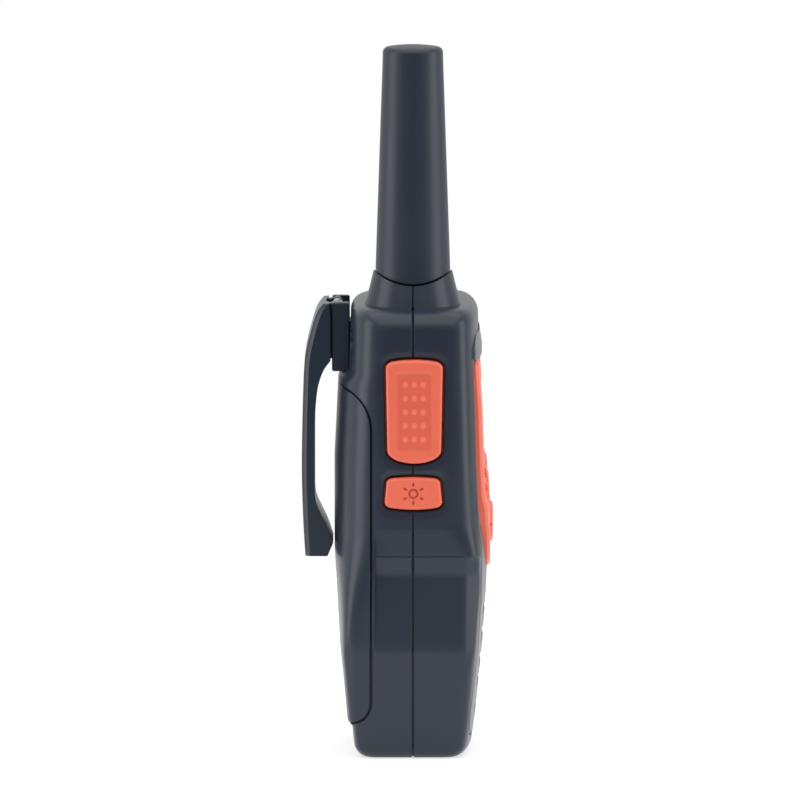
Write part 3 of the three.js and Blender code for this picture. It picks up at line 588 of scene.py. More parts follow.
def across_side(y, z):
    """The plain section's half width at points on a side."""
    side, rear, front = half_sizes(z)
    power = np.where(y > 0, rear_power(z), front_power(z))
    depth = np.where(y > 0, rear, front)
    crown = np.where(y > 0, rear_crown(z), FRONT_CROWN)
    low, high = np.zeros(np.shape(y)), np.ones(np.shape(y))
    for _ in range(40):
        u = (low + high) / 2
        over = u ** power + (np.abs(y) / (depth * (1 - crown * u * u))) ** power > 1
        high = np.where(over, u, high)
        low = np.where(over, low, u)
    return np.minimum(side * low, side - BEVEL_SLOPE * np.maximum(0, np.abs(y) - bevel_start(z, y > 0)))


def surface_x(y, z, left):
    y, z = np.asarray(y, float), np.asarray(z, float)
    return across_side(y, z) - side_drop(y, z, np.full(y.shape, left))


def surface_y(x, z, rear=False, face=FRONT):
    side, back, front = half_sizes(z, face=face)
    u = np.clip(np.abs(x) / side, 0, 1)
    if rear:
        power = rear_power(z)
        depth = back * (1 - u ** power) ** (1 / power) * (1 - rear_crown(z) * u * u)
    else:
        power = front_power(z)
        depth = front * (1 - u ** power) ** (1 / power) * (1 - crown_of(face) * u * u)
    depth = np.minimum(depth, bevel_start(z, rear) + side * (1 - u) / BEVEL_SLOPE)
    return depth if rear else -depth


def surface_groove(axis, outline, place, outward, size, closed, spacing, lift=0.0):
    """Breaks the edges along an outline on the surface that lies at place(u, v) on an axis."""
    u, v = spaced(outline, spacing, closed).T
    step = 0.2
    slope_u = (place(u + step, v) - place(u - step, v)) / (2 * step)
    slope_v = (place(u, v + step) - place(u, v - step)) / (2 * step)
    normals = outward * laid(np.stack([-slope_u, -slope_v], 1), axis, np.ones(len(u)))
    points = laid(np.stack([u, v], 1), axis, place(u, v) + outward * lift)
    return groove(points, normals, size, closed)


def side_groove(outline, left, size, closed=True, spacing=0.5):
    outward = -1 if left else 1

    def place(y, z):
        return outward * surface_x(y, z, left)

    return surface_groove("x", outline, place, outward, size, closed, spacing)


def face_groove(outline, size, face=FRONT, rear=False, spacing=0.6, closed=True, lift=0.0):
    def place(x, z):
        return surface_y(x, z, rear, face)

    return surface_groove("y", outline, place, 1 if rear else -1, size, closed, spacing, lift)


def section(angles, z, inset, face, rounded):
    side, rear, front = half_sizes(z, inset, face, rounded)
    c, s = np.cos(angles), np.sin(angles)
    power = np.where(s > 0, rear_power(z), front_power(z))
    u = np.sign(c) * np.abs(c) ** (2 / power)
    v = np.sign(s) * np.abs(s) ** (2 / power)
    depth = np.where(s > 0, rear, front)
    crown = np.where(s > 0, rear_crown(z), crown_of(face))
    y = v * depth * (1 - crown * u * u)
    start = bevel_start(z, s > 0, rounded) - np.where(s > 0, inset[1], inset[2])
    most = side - BEVEL_SLOPE * np.maximum(0, np.abs(y) - start)
    return np.stack([np.sign(u) * np.minimum(side * np.abs(u), most), y], 1)


FINE_ANGLES = np.linspace(-0.5 * math.pi, 0.5 * math.pi, 2400)


def half_ring(z, inset, face, rounded, count):
    """The +X half of a level's outline, front to rear, with a step's two points at the panel edge."""
    line = section(FINE_ANGLES, z, inset, face, rounded)
    step = 0.03
    parts = []
    for share, low, high in ((0.47, -FAR, 0), (0.19, 0, PANEL_EDGE - step), (0.34, PANEL_EDGE + step, FAR)):
        start = line[0] if low == -FAR else [np.interp(low, line[:, 1], line[:, 0]), low]
        end = line[-1] if high == FAR else [np.interp(high, line[:, 1], line[:, 0]), high]
        inner = line[(line[:, 1] > start[1]) & (line[:, 1] < end[1])]
        part = spaced_to(np.concatenate([[start], inner, [end]]), max(2, round(share * count / 2)))
        parts.append(part[:-1] if high == 0 else part)
    return np.concatenate(parts)


def with_creases(heights, low, high):
    """The heights with the waist's creases among them, and no other height close to a crease."""
    creases = [z + d for z, _ in WAIST for d in (-0.2, 0, 0.2)]
    clear = [z for z in heights if all(abs(z - c) > 0.2 for c in creases)]
    return sorted(clear + [z for z in creases if low < z < high])


def with_roundings(heights, low, high):
    """The heights between the rounded bottom and top, with close levels on both roundings."""
    bottom, top = max(BOTTOM_ROUNDINGS), max(TOP_ROUNDINGS)
    between = [z for z in heights if low + bottom < z < high - top]
    return [*(low + bottom * (1 - np.cos(TURN))), *between, *(high - top + top * np.sin(TURN))]


def form(
        inset=(0, 0, 0), low=0.0, high=BODY_HEIGHT, face=FRONT, rounded=False, panels=False, count=72,
        step=3.0):
    """The solid inside the housing's surface, set in by a distance at the sides, rear and front."""
    heights = [*np.arange(low, high, step), high]
    if panels:
        heights = with_creases(heights, low, high)
    if high - heights[-2] < 0.3 * step:
        del heights[-2]
    if rounded:
        heights = with_roundings(heights, low, high)
    rings = []
    for z in heights:
        half = half_ring(z, inset, face, rounded, count)
        mirrored = half[-2:0:-1] * (-1, 1)
        ring = np.concatenate([half, mirrored])
        if panels:
            x, y = ring[:, 0], ring[:, 1]
            drop = side_drop(y, np.full(len(y), z), x < 0)
            sides = smoothstep(0.72, 0.9, np.abs(x) / np.abs(x).max())
            ring = np.stack([x - np.sign(x) * drop * sides, y], 1)
        rings.append(laid(ring, "z", z))
    return loft(rings)


def under_face(depth, low=-4, high=110, count=96, step=3.0):
    """What lies deeper than a distance inside the shells' front face."""
    return form((-3, -3, depth), low, high, count=count, step=step)


TURN = np.radians(np.linspace(0, 90, 14))
DETAIL = {"count": 300, "step": 0.5}
BROAD = {"count": 240, "step": 0.8}


# ---------------------------------------------------------------- materials
WHITE = (1, 1, 1, 1)


def node(tree, kind, values=(), links=(), **settings):
    """Adds a shader node with its input values, and links other nodes' outputs to its inputs."""
    made = tree.nodes.new("ShaderNode" + kind)
    for setting, value in settings.items():
        setattr(made, setting, value)
    for socket, value in dict(values).items():
        made.inputs[socket].default_value = value
    for socket, output in dict(links).items():
        tree.links.new(output, made.inputs[socket])
    return made


def inputs_of(material):
    return material.node_tree.nodes["Principled BSDF"].inputs


def mixed(tree, low, high, factor):
    """A colour between two others."""
    made = node(tree, "Mix", {"A": (*low, 1), "B": (*high, 1)}, {"Factor": factor}, data_type="RGBA")
    return made.outputs["Result"]


def textured(
        name, colour, roughness, metallic=0.0, grain=2500.0, relief=0.04, shade=0.06, uneven=0.05):
    """A finish with a fine surface grain, a slight change of shade and an uneven gloss."""
    material = bpy.data.materials.new(name)
    material.use_nodes = True
    tree = material.node_tree
    inputs = inputs_of(material)
    inputs["Base Color"].default_value = (*colour, 1)
    inputs["Roughness"].default_value = roughness
    inputs["Metallic"].default_value = metallic
    place = node(tree, "TexCoord").outputs["Object"]
    fine = node(tree, "TexNoise", {"Scale": grain, "Detail": 3}, {"Vector": place})
    bump = node(tree, "Bump", {"Strength": relief, "Distance": 0.0002}, {"Height": fine.outputs["Fac"]})
    tree.links.new(bump.outputs["Normal"], inputs["Normal"])
    broad = node(tree, "TexNoise", {"Scale": grain / 40, "Detail": 4}, {"Vector": place}).outputs["Fac"]
    darker = [c * (1 - shade) for c in colour]
    lighter = [min(1, c * (1 + shade)) for c in colour]
    tree.links.new(mixed(tree, darker, lighter, broad), inputs["Base Color"])
    range_of_gloss = {"To Min": max(0.02, roughness - uneven), "To Max": min(1, roughness + uneven)}
    gloss = node(tree, "MapRange", range_of_gloss, {"Value": broad})
    tree.links.new(gloss.outputs["Result"], inputs["Roughness"])
    return material


def linear(red, green, blue):
    """A colour from its eight-bit screen values."""
    values = [value / 255 for value in (red, green, blue)]
    return tuple(v / 12.92 if v <= 0.04045 else ((v + 0.055) / 1.055) ** 2.4 for v in values)


def with_painted_light(material, colour, depth=0.4):
    """Paints light and shade into the colour from a piece's per-point values: a painted highlight above 0 and
    painted shade below.
    """
    tree = material.node_tree
    painted_light = node(tree, "Attribute", attribute_name="painted_light")
    amount = node(tree, "MapRange", {"From Min": -1}, {"Value": painted_light.outputs["Fac"]})
    darker = [c * (1 - depth) for c in colour]
    lighter = [min(1, c * (1 + depth) + 0.04) for c in colour]
    shades = mixed(tree, darker, lighter, amount.outputs["Result"])
    tree.links.new(shades, inputs_of(material)["Base Color"])


housing_plastic = textured("housing_plastic", linear(32, 40, 53), 0.3, relief=0.05)
clip_plastic = textured("clip_plastic", linear(32, 42, 54), 0.28, relief=0.03)
antenna_plastic = textured("antenna_plastic", linear(32, 41, 53), 0.38, relief=0.05)
for material in (housing_plastic, clip_plastic, antenna_plastic):
    inputs_of(material)["Specular IOR Level"].default_value = 0.4
ORANGE = linear(243, 96, 68)
orange_plastic = textured("orange_plastic", ORANGE, 0.36, relief=0.03, shade=0.03)
# the orange takes a painted highlight and painted shade from per-point values on the side buttons
with_painted_light(orange_plastic, ORANGE)
grey_plastic = textured("grey_plastic", linear(100, 104, 107), 0.4, relief=0.03)
black_rubber = textured("black_rubber", linear(36, 39, 44), 0.7, relief=0.08)
pale_rubber = textured("pale_rubber", linear(214, 214, 206), 0.6, relief=0.05)
spring_steel = textured("spring_steel", linear(150, 152, 157), 0.28, 1.0, relief=0.02)
tin_plate = textured("tin_plate", linear(200, 202, 204), 0.34, 1.0, relief=0.03)
copper_wire = textured("copper_wire", linear(196, 122, 66), 0.32, 1.0, relief=0.02)
cell_jacket = textured("cell_jacket", linear(52, 66, 96), 0.3, relief=0.01)
inputs_of(cell_jacket)["Coat Weight"].default_value = 0.4
circuit_board = textured("circuit_board", linear(28, 92, 60), 0.45, relief=0.05, shade=0.15)
display_glass = textured(
    "display_glass", linear(150, 164, 138), 0.25, relief=0.01, shade=0.04)
speaker_mesh = textured("speaker_mesh", linear(22, 23, 25), 0.85, relief=0.4, grain=1500)
clear_lens = textured("clear_lens", linear(235, 240, 240), 0.08, relief=0.0, shade=0.0, uneven=0.02)
inputs_of(clear_lens)["Transmission Weight"].default_value = 1
inputs_of(clear_lens)["IOR"].default_value = 1.49


def painted(obj, painted_light):
    """Stores the painted highlight and painted shade at each point: how much lighter or darker than its
    colour the piece is.
    """
    points = np.array([v.co for v in obj.data.vertices], float).reshape(-1, 3)
    attribute = obj.data.attributes.new("painted_light", "FLOAT", "POINT")
    attribute.data.foreach_set("value", np.asarray(painted_light(points), np.float32))
    return obj


def dressed(obj, material, sharp):
    """Gives a mesh its only material, with smooth shading up to an angle."""
    obj.data.materials.clear()
    obj.data.materials.append(material)
    obj.data.shade_smooth()
    obj.data.set_sharp_from_angle(angle=math.radians(sharp))


def finished(obj, name, body, material, replaced, weighted=True):
    """Brings a piece into the frame, with its name, body and finish, and hides the CAD node that it stands
    for.
    """
    obj.data.transform(TO_FRAME)
    obj.name = name
    obj.data.name = name
    for polygon in obj.data.polygons:
        polygon.material_index = 0
    if weighted:
        modifier = obj.modifiers.new("normals", "WEIGHTED_NORMAL")
        modifier.keep_sharp = True
        modifier.weight = 60
    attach(obj, body)
    dressed(obj, material, 42)
    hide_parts(replaced)


# ---------------------------------------------------------------- tools shared by the shells
def seam_height(y, lift=0.0):
    """The seam between the collar and the antenna: a saddle that is lowest at the sides."""
    return SEAM_LOW + lift + SEAM_RISE * (y / COLLAR_SEAM_RADIUS) ** 2


def above_seam(lift=0.0):
    y = np.linspace(-14, 14, 57)
    outline = np.concatenate([np.stack([y, seam_height(y, lift)], 1), [(14, 175), (-14, 175)]])
    return prism("x", outline, ANTENNA_X - 14, ANTENNA_X + 14)


def seam_groove(radius, lift, size):
    angles = np.linspace(0, 2 * math.pi, 96, endpoint=False)
    normals = np.stack([np.cos(angles), np.sin(angles), np.zeros(len(angles))], 1)
    y = radius * normals[:, 1]
    points = np.stack([ANTENNA_X + radius * normals[:, 0], y, seam_height(y, lift)], 1)
    return groove(points, normals, size)


def antenna_rod(radius, low, high, edge=0.0):
    return rod("z", (ANTENNA_X, 0), radius, low, high, edge)


def collar():
    low, top = BODY_HEIGHT - 2.5, SEAM_LOW + SEAM_RISE + 1
    profile = [
        (11, low), (11, BODY_HEIGHT), (10.4, BODY_HEIGHT + 2.3), (9.9, 107.5), (9.45, 109.4), (9, 111.3),
        (9, top)]
    return turned(profile, "z", (ANTENNA_X, 0), 96)


def parting_groove():
    """Breaks the two shells' edges where they meet, round the housing and up the collar."""
    z = np.array(with_roundings(with_creases(np.arange(5, 98, 0.25), 5, 98), 0, BODY_HEIGHT))
    y = np.zeros(len(z))
    left = np.stack([-surface_x(y, z, True), z], 1)
    right = np.stack([surface_x(y, z, False), z], 1)
    loop = spaced(np.concatenate([right, left[::-1]]), 0.25)
    along = np.roll(loop, -1, 0) - np.roll(loop, 1, 0)
    normals = np.stack([along[:, 1], np.zeros(len(loop)), -along[:, 0]], 1)
    return groove(laid(loop, "y", 0), normals, 0.34)


SCREWS = {"left": -15.5, "right": 15.5}
SCREW_HEIGHT = 95.8
SCREW_SEAT = 10.5
LATCH_HALF = 6.5
LATCH_LOW = 8.3
LATCH_HIGH = 13.5
LATCH_TRAVEL = 2.2
TONGUE_HALF = 4
RAIL = (88.6, 99)                # the rail that the clip slides on: its heights, depths and half widths
RAIL_DEPTHS = (15.8, 16.8)
RAIL_HALF = 6.5
STEM_HALF = 4


def rim(outer, inner, low, high, clearance):
    """A ring along the inside of the wall, between two distances from the surface."""
    return without(
        form((outer - clearance, outer, outer), low, high), form((inner, inner, inner), low - 1, high + 1))


def lip(clearance):
    """The rim that closes the joint between the shells from inside. It lies deeper at the waist."""
    below = rim(1.1, 2.3, 0.8, 25, clearance)
    waist = rim(2.1, 3.2, 24.5, 54.5, clearance)
    above = rim(1.1, 2.3, 54, 100.5, clearance)
    foot = bar(20.5, (-9, 9), (0.35, 2.6))
    joint = bar(FAR, (-1.3 - clearance, 0.4 + clearance), (0, 110))
    return common(joined(below, waist, above, foot), joint)


def shell_wall():
    outer = form(rounded=True, panels=True, **DETAIL)
    return without(outer, form((WALL, WALL, FRONT_WALL), WALL, BODY_HEIGHT - 2))


def shell_cuts():
    """What is cut away from both shells."""
    buttons = [button_outline(shape, BUTTON_GAP) for shape in (PTT, LIGHT)]
    waist_line = [(-11.5, WAIST_LINE), (PANEL_EDGE - 0.4, WAIST_LINE)]
    return [
        antenna_rod(6.6, 95, 116), above_seam(), *[prism("x", outline, -FAR, -20) for outline in buttons],
        prism("x", jack_outline(GAP), 26, FAR), *[rod("x", (0, z), 1.9, 20, FAR) for z in JACKS],
        *[side_groove(outline, True, 0.26) for outline in buttons],
        side_groove(jack_outline(GAP), False, 0.25),
        *[side_groove(waist_line, left, 0.17, closed=False) for left in (True, False)],
        parting_groove(), seam_groove(9.05, 0, 0.3),
    ]


def front_cut(outline, end=-5):
    """Cuts an outline through the front, from outside to a depth."""
    return prism("y", outline, -FAR, end)


def key_holes():
    outlines = [*[key_outline(x, GAP) for x in KEY_ROW.values()], rocker_outline(GAP)]
    return [front_cut(outline, -9) for outline in outlines]


def microphone_hole():
    return rod("y", MICROPHONE, 0.7, -FAR, -9)


def display_hole():
    return front_cut(centred(14.4, 69.6, 84.4, 1.5))


def front_shell():
    shell = joined(shell_wall(), collar())
    shell = common(shell, bar(FAR, (-FAR, -PARTING_GAP), (-5, 130)))
    recess = without(front_cut(plate_outline(GAP)), form((-3, -3, 1.9), -4, 110))
    shell = without(
        shell, recess, *shell_cuts(), *key_holes(), display_hole(), rod("y", SPEAKER, 9.4, -FAR, -9),
        microphone_hole(), face_groove(plate_outline(GAP / 2), 0.42), lip(0.1))
    finished(shell, "front_shell_skin", "housing", housing_plastic, "front_shell")


def door_seam(grow, size):
    """The grooves along the door's edge: one up each side, joined across the rear."""
    sides = [side_groove(door_edge(grow), left, size, closed=False) for left in (True, False)]
    ends = [
        face_groove([(-reach, z), (reach, z)], size, rear=True, closed=False)
        for z, reach in ((DOOR_BOTTOM - grow, 13), (DOOR_TOP + grow, 12))]
    return sides + ends


def rear_shell():
    under_door = without(prism("x", door_outline(GAP / 2), -FAR, FAR), form((1.9, 1.9, 8), -4, 110))
    ledge = without(form((1.9, 1.9, 8), 3, 100), form((3.4, 3.4, 9), 3.4, 110))
    ledge = common(ledge, prism("x", door_outline(2), -FAR, FAR))
    tray = common(bar(18.7, (1.2, 20), (16.1, 70.6)), form((1.9, 1.9, 0), 1, 102))
    shell = joined(without(shell_wall(), under_door), collar(), ledge, tray)
    shell = common(shell, bar(FAR, (PARTING_GAP, FAR), (-5, 130)))
    shell = joined(shell, lip(0))
    clip_pocket = bar(9.3, (14.2, 40), (87.5, 112))
    battery_bay = bar(17.6, (2.4, FAR), (17.2, 69.5))
    latch_socket = bar(TONGUE_HALF + GAP, (11.9, 14.2), (LATCH_LOW, 16.7))
    tongue_socket = bar(TONGUE_HALF + GAP, (11.9, 13.5), (6.3, 9))
    heads = [rod("y", (x, SCREW_HEIGHT), 2.6, SCREW_SEAT, 30) for x in SCREWS.values()]
    shanks = [rod("y", (x, SCREW_HEIGHT), 1.55, -1, 30) for x in SCREWS.values()]
    shell = without(
        shell, clip_pocket, battery_bay, *heads, *shanks, latch_socket, tongue_socket, *shell_cuts(),
        *door_seam(GAP / 2, 0.25))
    rail_stem = bar(STEM_HALF, (13.4, RAIL_DEPTHS[0] + 0.1), RAIL)
    rail_head = bevelled(bar(RAIL_HALF, RAIL_DEPTHS, RAIL), 0.2)
    shell = joined(shell, rail_stem, rail_head)
    finished(shell, "rear_shell_skin", "housing", housing_plastic, "rear_shell")


def battery_door():
    skin = without(form(rounded=True, **DETAIL), form((1.6, 1.6, 8), 0.5, 110))
    skin = common(skin, prism("x", door_outline(-GAP / 2), -FAR, FAR))
    notch = prism("y", centred(LATCH_HALF + GAP, 4, LATCH_HIGH + LATCH_TRAVEL + GAP, 1.2), 5, 40)
    skin = without(skin, notch, *door_seam(-GAP / 2, 0.25))
    finished(skin, "battery_door_skin", "housing", housing_plastic, "battery_door")


front_shell()
rear_shell()
battery_door()


# ---------------------------------------------------------------- buttons on the left side
def strokes_relief(points, strokes, width, height):
    """Raised or sunken lines of a symbol."""
    relief = np.zeros(len(points))
    for stroke in strokes:
        distance = distance_to(np.array(stroke, float), points, closed=False)
        relief = np.maximum(relief, 1 - smoothstep(0.35 * width, 0.65 * width, distance))
    return height * relief


PANEL = {"half": 4.05, "low": 71.6, "high": 89.6, "corner": 0.8}
DOT_PITCH = (2.05, 3.13)
DOTS_MIDDLE = 80.6
SUN_HEIGHT = 61.8
SUN_WIDTH = 0.42


def panel_depth(points):
    """How far inside the push-to-talk button's sunken panel points are."""
    left, right = PTT["middle"] - PANEL["half"], PTT["middle"] + PANEL["half"]
    panel = rounded_rectangle(left, PANEL["low"], right, PANEL["high"], PANEL["corner"])
    return distance_to(panel, points) * np.where(is_inside(panel, points), 1, -1)


def dots(points, near, far):
    """The five rows of three grip dots: 1 on a dot, 0 between them."""
    level = np.zeros(len(points))
    for row in (-2, -1, 0, 1, 2):
        for column in (-1, 0, 1):
            spot = (PTT["middle"] + DOT_PITCH[0] * column, DOTS_MIDDLE + DOT_PITCH[1] * row)
            level += 1 - smoothstep(near, far, np.linalg.norm(points - spot, axis=1))
    return level


def ptt_relief(points, distance):
    height = rounded_edge(distance, 0.8) - 0.2 * smoothstep(-0.5, 0.5, panel_depth(points))
    return height + 0.2 * dots(points, 0.1, 0.85)


def sun(points, depth):
    """The light button's symbol: a ring with six short rays."""
    middle = np.array([LIGHT["middle"], SUN_HEIGHT])
    ring = circle(middle, 0.95, 24)
    strokes = [np.concatenate([ring, ring[:1]])]
    for angle in np.radians(range(30, 390, 60)):
        direction = np.array([math.cos(angle), math.sin(angle)])
        strokes.append([middle + 1.9 * direction, middle + 2.35 * direction])
    return strokes_relief(points, strokes, SUN_WIDTH, depth)


def light_relief(points, distance):
    return rounded_edge(distance, 0.8) - sun(points, 0.28)


def ptt_painted_light(points):
    # painted highlight on the raised grip dots and painted shade in the sunken panel
    flat = points[:, 1:]
    return 0.75 * dots(flat, 0.35, 0.85) - 0.35 * smoothstep(-0.4, 0.6, panel_depth(flat))


def light_button_painted_shade(points):
    # painted shade in the engraved sun symbol
    return -sun(points[:, 1:], 1.6)


def side_button(name, shape, face, relief, painted_light, body, pitch):
    base, top = -24, -23.2       # the flange that holds the button in
    pad = pillow(button_outline(shape), "x", face, top, relief, pitch)
    flange = prism("x", button_outline(shape, 0.8), base, top)
    # the per-point painted highlight and painted shade go onto the button
    finished(painted(joined(pad, flange), painted_light), name + "_cap", body, orange_plastic, name)


side_button("ptt_button", PTT, PTT_FACE, ptt_relief, ptt_painted_light, "ptt", 0.18)
side_button("light_button", LIGHT, LIGHT_FACE, light_relief, light_button_painted_shade, "light", 0.16)


# ---------------------------------------------------------------- face plate, bezel, lens, keys
GRILLE_BARS = [(11.2, 16.3), (17.7, 20.7), (22.8, 26.5), (28.8, 32.7)]
GRILLE_ENDS = (10.2, 33.9)
GRILLE_HALF = 15
WINDOW = (68, 86)
WINDOW_HALF = 16
LEDGE = (64, 66.3)               # the raised line between the keys and the display


def grille_hollow(low, high):
    """The hollow between two of the speaker's bars."""
    outline = centred(GRILLE_HALF, low, high, min(1.2, 0.45 * (high - low)))
    return without(front_cut(outline), under_face(0.9, low - 5, high + 5, 120, 1.0))


def grille():
    """What is cut away round the speaker's bars: hollows, slots in the inner ones, and broken edges."""
    edges = [GRILLE_ENDS[0], *[z for ends in GRILLE_BARS for z in ends], GRILLE_ENDS[1]]
    hollows_between = list(zip(edges[::2], edges[1::2]))
    tools = [grille_hollow(low, high) for low, high in hollows_between]
    for low, high in hollows_between[1:-1]:
        middle = (low + high) / 2
        tools.append(front_cut(centred(6, middle - 0.5, middle + 0.5, 0.45)))
    reach = GRILLE_HALF + 0.3
    return tools + [face_groove([(-reach, z), (reach, z)], 0.5, closed=False) for z in edges]


def face_plate():
    front = front_cut(plate_outline())
    sheet = common(without(form(**BROAD), under_face(1.6)), front)
    brow = common(form(face=BROW, low=80, count=240, step=0.5), bar(FAR, (-FAR, 0), (91.8, 97.5)))
    brow = common(without(brow, under_face(0.5, 70)), front_cut(plate_outline()))
    recess = without(front_cut(bezel_outline(GAP)), under_face(0.9, 30, 100))
    plate = without(
        joined(sheet, brow), recess, display_hole(), *grille(), *key_holes(),
        microphone_hole(), face_groove(plate_outline(GAP / 2), 0.42))
    finished(plate, "face_plate_skin", "housing", grey_plastic, "face_plate")


def keypad_bezel():
    sheet = without(form(face=BEZEL, low=30, high=100, **BROAD), under_face(0.6, 25))
    sheet = common(sheet, front_cut(bezel_outline()))
    raised = [(z, depth + 0.4) for z, depth in BEZEL]
    ledge = common(
        form(face=raised, low=60, high=70, count=240, step=0.5),
        front_cut(centred(WINDOW_HALF, *LEDGE, 1)))
    ledge = without(ledge, under_face(0.2, 50, 80))
    window = centred(WINDOW_HALF, *WINDOW, 1.5)
    bezel = without(
        joined(sheet, ledge), front_cut(window, 0), *key_holes(),
        *[face_groove(key_outline(x, GAP), 0.25, BEZEL, spacing=0.4) for x in KEY_ROW.values()],
        face_groove(rocker_outline(GAP), 0.3, BEZEL, spacing=0.4), face_groove(window, 0.35, BEZEL),
        face_groove(bezel_outline(), 0.6, BEZEL))
    finished(bezel, "keypad_bezel_skin", "housing", orange_plastic, "keypad_bezel")


def display_lens():
    lens_face = [(z, depth - 0.2) for z, depth in BEZEL]
    outline = centred(WINDOW_HALF - GAP, WINDOW[0] + GAP, WINDOW[1] - GAP, 1.3)
    lens = without(form(face=lens_face, low=60, high=95, **BROAD), under_face(0.5, 50))
    lens = without(common(lens, front_cut(outline)), face_groove(outline, 0.25, lens_face))
    finished(lens, "lcd_lens_clear", "housing", clear_lens, "lcd_lens")


face_plate()
keypad_bezel()
display_lens()


# ---------------------------------------------------------------- keys
KEY_BASE = -11.5                 # the rear of the keys' flanges
FLANGE = 0.6


def key_symbol(name, x, z):
    if name == "key_power":
        return [arc((x, z), (1.05, 1.05), 125, 415, 24), [(x, z + 0.3), (x, z + 1.35)]]
    if name == "key_mode":
        return [[(x - 1.2, z + d), (x + 1.2, z + d)] for d in (-0.8, 0, 0.8)]
    return [arc((x - 1, z), (r, r), -45, 45, 8) for r in (0.9, 1.7, 2.5)]


def key(name, body, outline, face, relief, pitch, low, high):
    pad = pillow(outline, "y", face, KEY_BASE, relief, pitch)
    flange = box((low[0], KEY_BASE - FLANGE, low[1]), (high[0], KEY_BASE, high[1]))
    finished(joined(pad, flange), name + "_cap", body, orange_plastic, name)


def row_key(name, x, body):
    z = KEY_ROW_HEIGHT
    symbol = key_symbol(name, x, z)

    def relief(points, distance):
        return rounded_edge(distance, 0.7) - strokes_relief(points, symbol, 0.36, 0.2)

    key(name, body, key_outline(x), -17.5, relief, 0.16, (x - 4.8, z - 2), (x + 4.8, z + 2))


def rocker_key(name, sign, body):
    whole = rocker_outline()
    z = ROCKER_HEIGHT
    near = z + sign * GAP / 2
    points = [p for p in arc((0, z), ROCKER_RADII, 0, 360, 120)[:-1] if sign * (p[1] - near) > 0.05]
    points = np.array(sorted(points, key=lambda p: math.atan2(sign * (p[1] - z), p[0])))
    reach = ROCKER_RADII[0] * math.sqrt(1 - ((near - z) / ROCKER_RADII[1]) ** 2)
    outline = spaced(np.concatenate([[(reach, near)], points, [(-reach, near)]]), 0.3)
    tip = z + sign * 3
    chevron = [[(-1.1, tip - sign * 0.8), (0, tip), (1.1, tip - sign * 0.8)]]

    def relief(points, distance):
        rim_edge = rounded_edge(distance_to(whole, points), 0.9)
        return rim_edge + rounded_edge(distance, 0.25) - strokes_relief(points, chevron, 0.4, 0.2)

    low, high = sorted((z + sign, z + sign * 3))
    key(name, body, outline, -18.4, relief, 0.2, (-8, low), (8, high))


for name, x in KEY_ROW.items():
    row_key(name, x, name.replace("key_", "") + "_key")
rocker_key("key_up", 1, "up_key")
rocker_key("key_down", -1, "down_key")


# ---------------------------------------------------------------- antenna
SLEEVE_RADII = (8.6, 6.9)        # at the foot and at the tip


def antenna():
    foot_radius, tip_radius = SLEEVE_RADII
    top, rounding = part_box("antenna_cover")[1].z / MILLIMETRE, 1.3
    taper = (tip_radius - foot_radius) / 50
    sleeve = [(foot_radius + taper * max(0, z - 110.5), z) for z in np.linspace(106, 159, 30)]
    cap = [
        (tip_radius - rounding * (1 - math.cos(a)), top - 0.45 - rounding * (1 - math.sin(a)))
        for a in np.radians(np.linspace(0, 80, 9))]
    dome = [(r, top - 0.43 * (r / 5.6) ** 2) for r in (4.6, 3.4, 2.2, 1.0, 0.3)]
    whole = turned([*sleeve, *cap, *dome], "z", (ANTENNA_X, 0), 128)
    whole = without(common(whole, above_seam(GAP)), seam_groove(8.62, GAP, 0.25))
    whole = joined(whole, antenna_rod(6.3, 100, 114), antenna_rod(8.2, 99, 100.4, 0.3))
    whole = without(whole, antenna_rod(3.6, 90, 150))
    finished(whole, "antenna_sleeve", "housing", antenna_plastic, "antenna_cover")


antenna()


# ---------------------------------------------------------------- belt clip
PIN = (17.3, 102.4)
PIN_RADIUS = 0.7
BARREL = 1.3
EYES_HALF = 6.5
CLIP_TOP = 103.4
CLIP_FOOT = 45.2
REAR_STEPS = 10
OUTER_POINTS = 7 * REAR_STEPS + 1


def clip_outline():
    outer = [
        (24.7, CLIP_FOOT), (25.2, 54), (25.5, 66), (25.2, 82), (24.7, 91), (23.1, 98), (21.9, 101.5),
        (20.5, CLIP_TOP)]
    return np.concatenate([
        spline(outer, REAR_STEPS),
        [(19.3, CLIP_TOP), (18.9, PIN[1] - 2)],
        spline([(18.9, 90.2), (20.5, 88), (21.8, 84), (22.4, 78), (22.5, 74)], 6),
        spline([(22.5, 62), (22.3, 58), (20.95, 54.7), (19.6, 51.9), (18.3, 48.2)], 6),
        [(19.6, CLIP_FOOT)],
    ])


def clip_form():
    """The arm without its details: its outer edges are cut back at 45 degrees."""
    outline = clip_outline()
    outer = smoothstep(0, 0.5, outline[:, 0] - 18.9) * (np.arange(len(outline)) < OUTER_POINTS)
    rings = []
    for x in (-9.5, -8.9, -8.5, -8.2, 8.2, 8.5, 8.9, 9.5):
        back = {9.5: 1.1, 8.9: 0.5, 8.5: 0.16, 8.2: 0}[abs(x)]
        rings.append(laid(outline - np.stack([back * outer, 0 * outer], 1), "x", x))
    return bevelled(loft(rings), 0.3, 50)


def clip_arm():
    eye_outline = np.concatenate([
        [(20.2, PIN[1] + 0.6)], arc(PIN, (BARREL, BARREL), 90, 270), [(20.2, PIN[1] - BARREL)]])
    eyes = [bevelled(prism("x", eye_outline, x, x + 2.9), 0.2, 50) for x in (-EYES_HALF, EYES_HALF - 2.9)]
    ribs = [box((x, 18.15, 90.5), (x + 2.4, 20, 101.2)) for x in (-6, 3.6)]
    channel = [(17.9, 90.5), (22.9, 90.5), (21.2, 97.3), (20.1, 100.6), (19.7, 105), (17.9, 105)]
    arm = joined(clip_form(), *eyes, *ribs)
    arm = without(arm, prism("x", channel, -3.4, 3.4), rod("x", PIN, PIN_RADIUS + 0.1, -20, 20))
    finished(arm, "clip_arm_body", "clip", clip_plastic, "clip_arm")


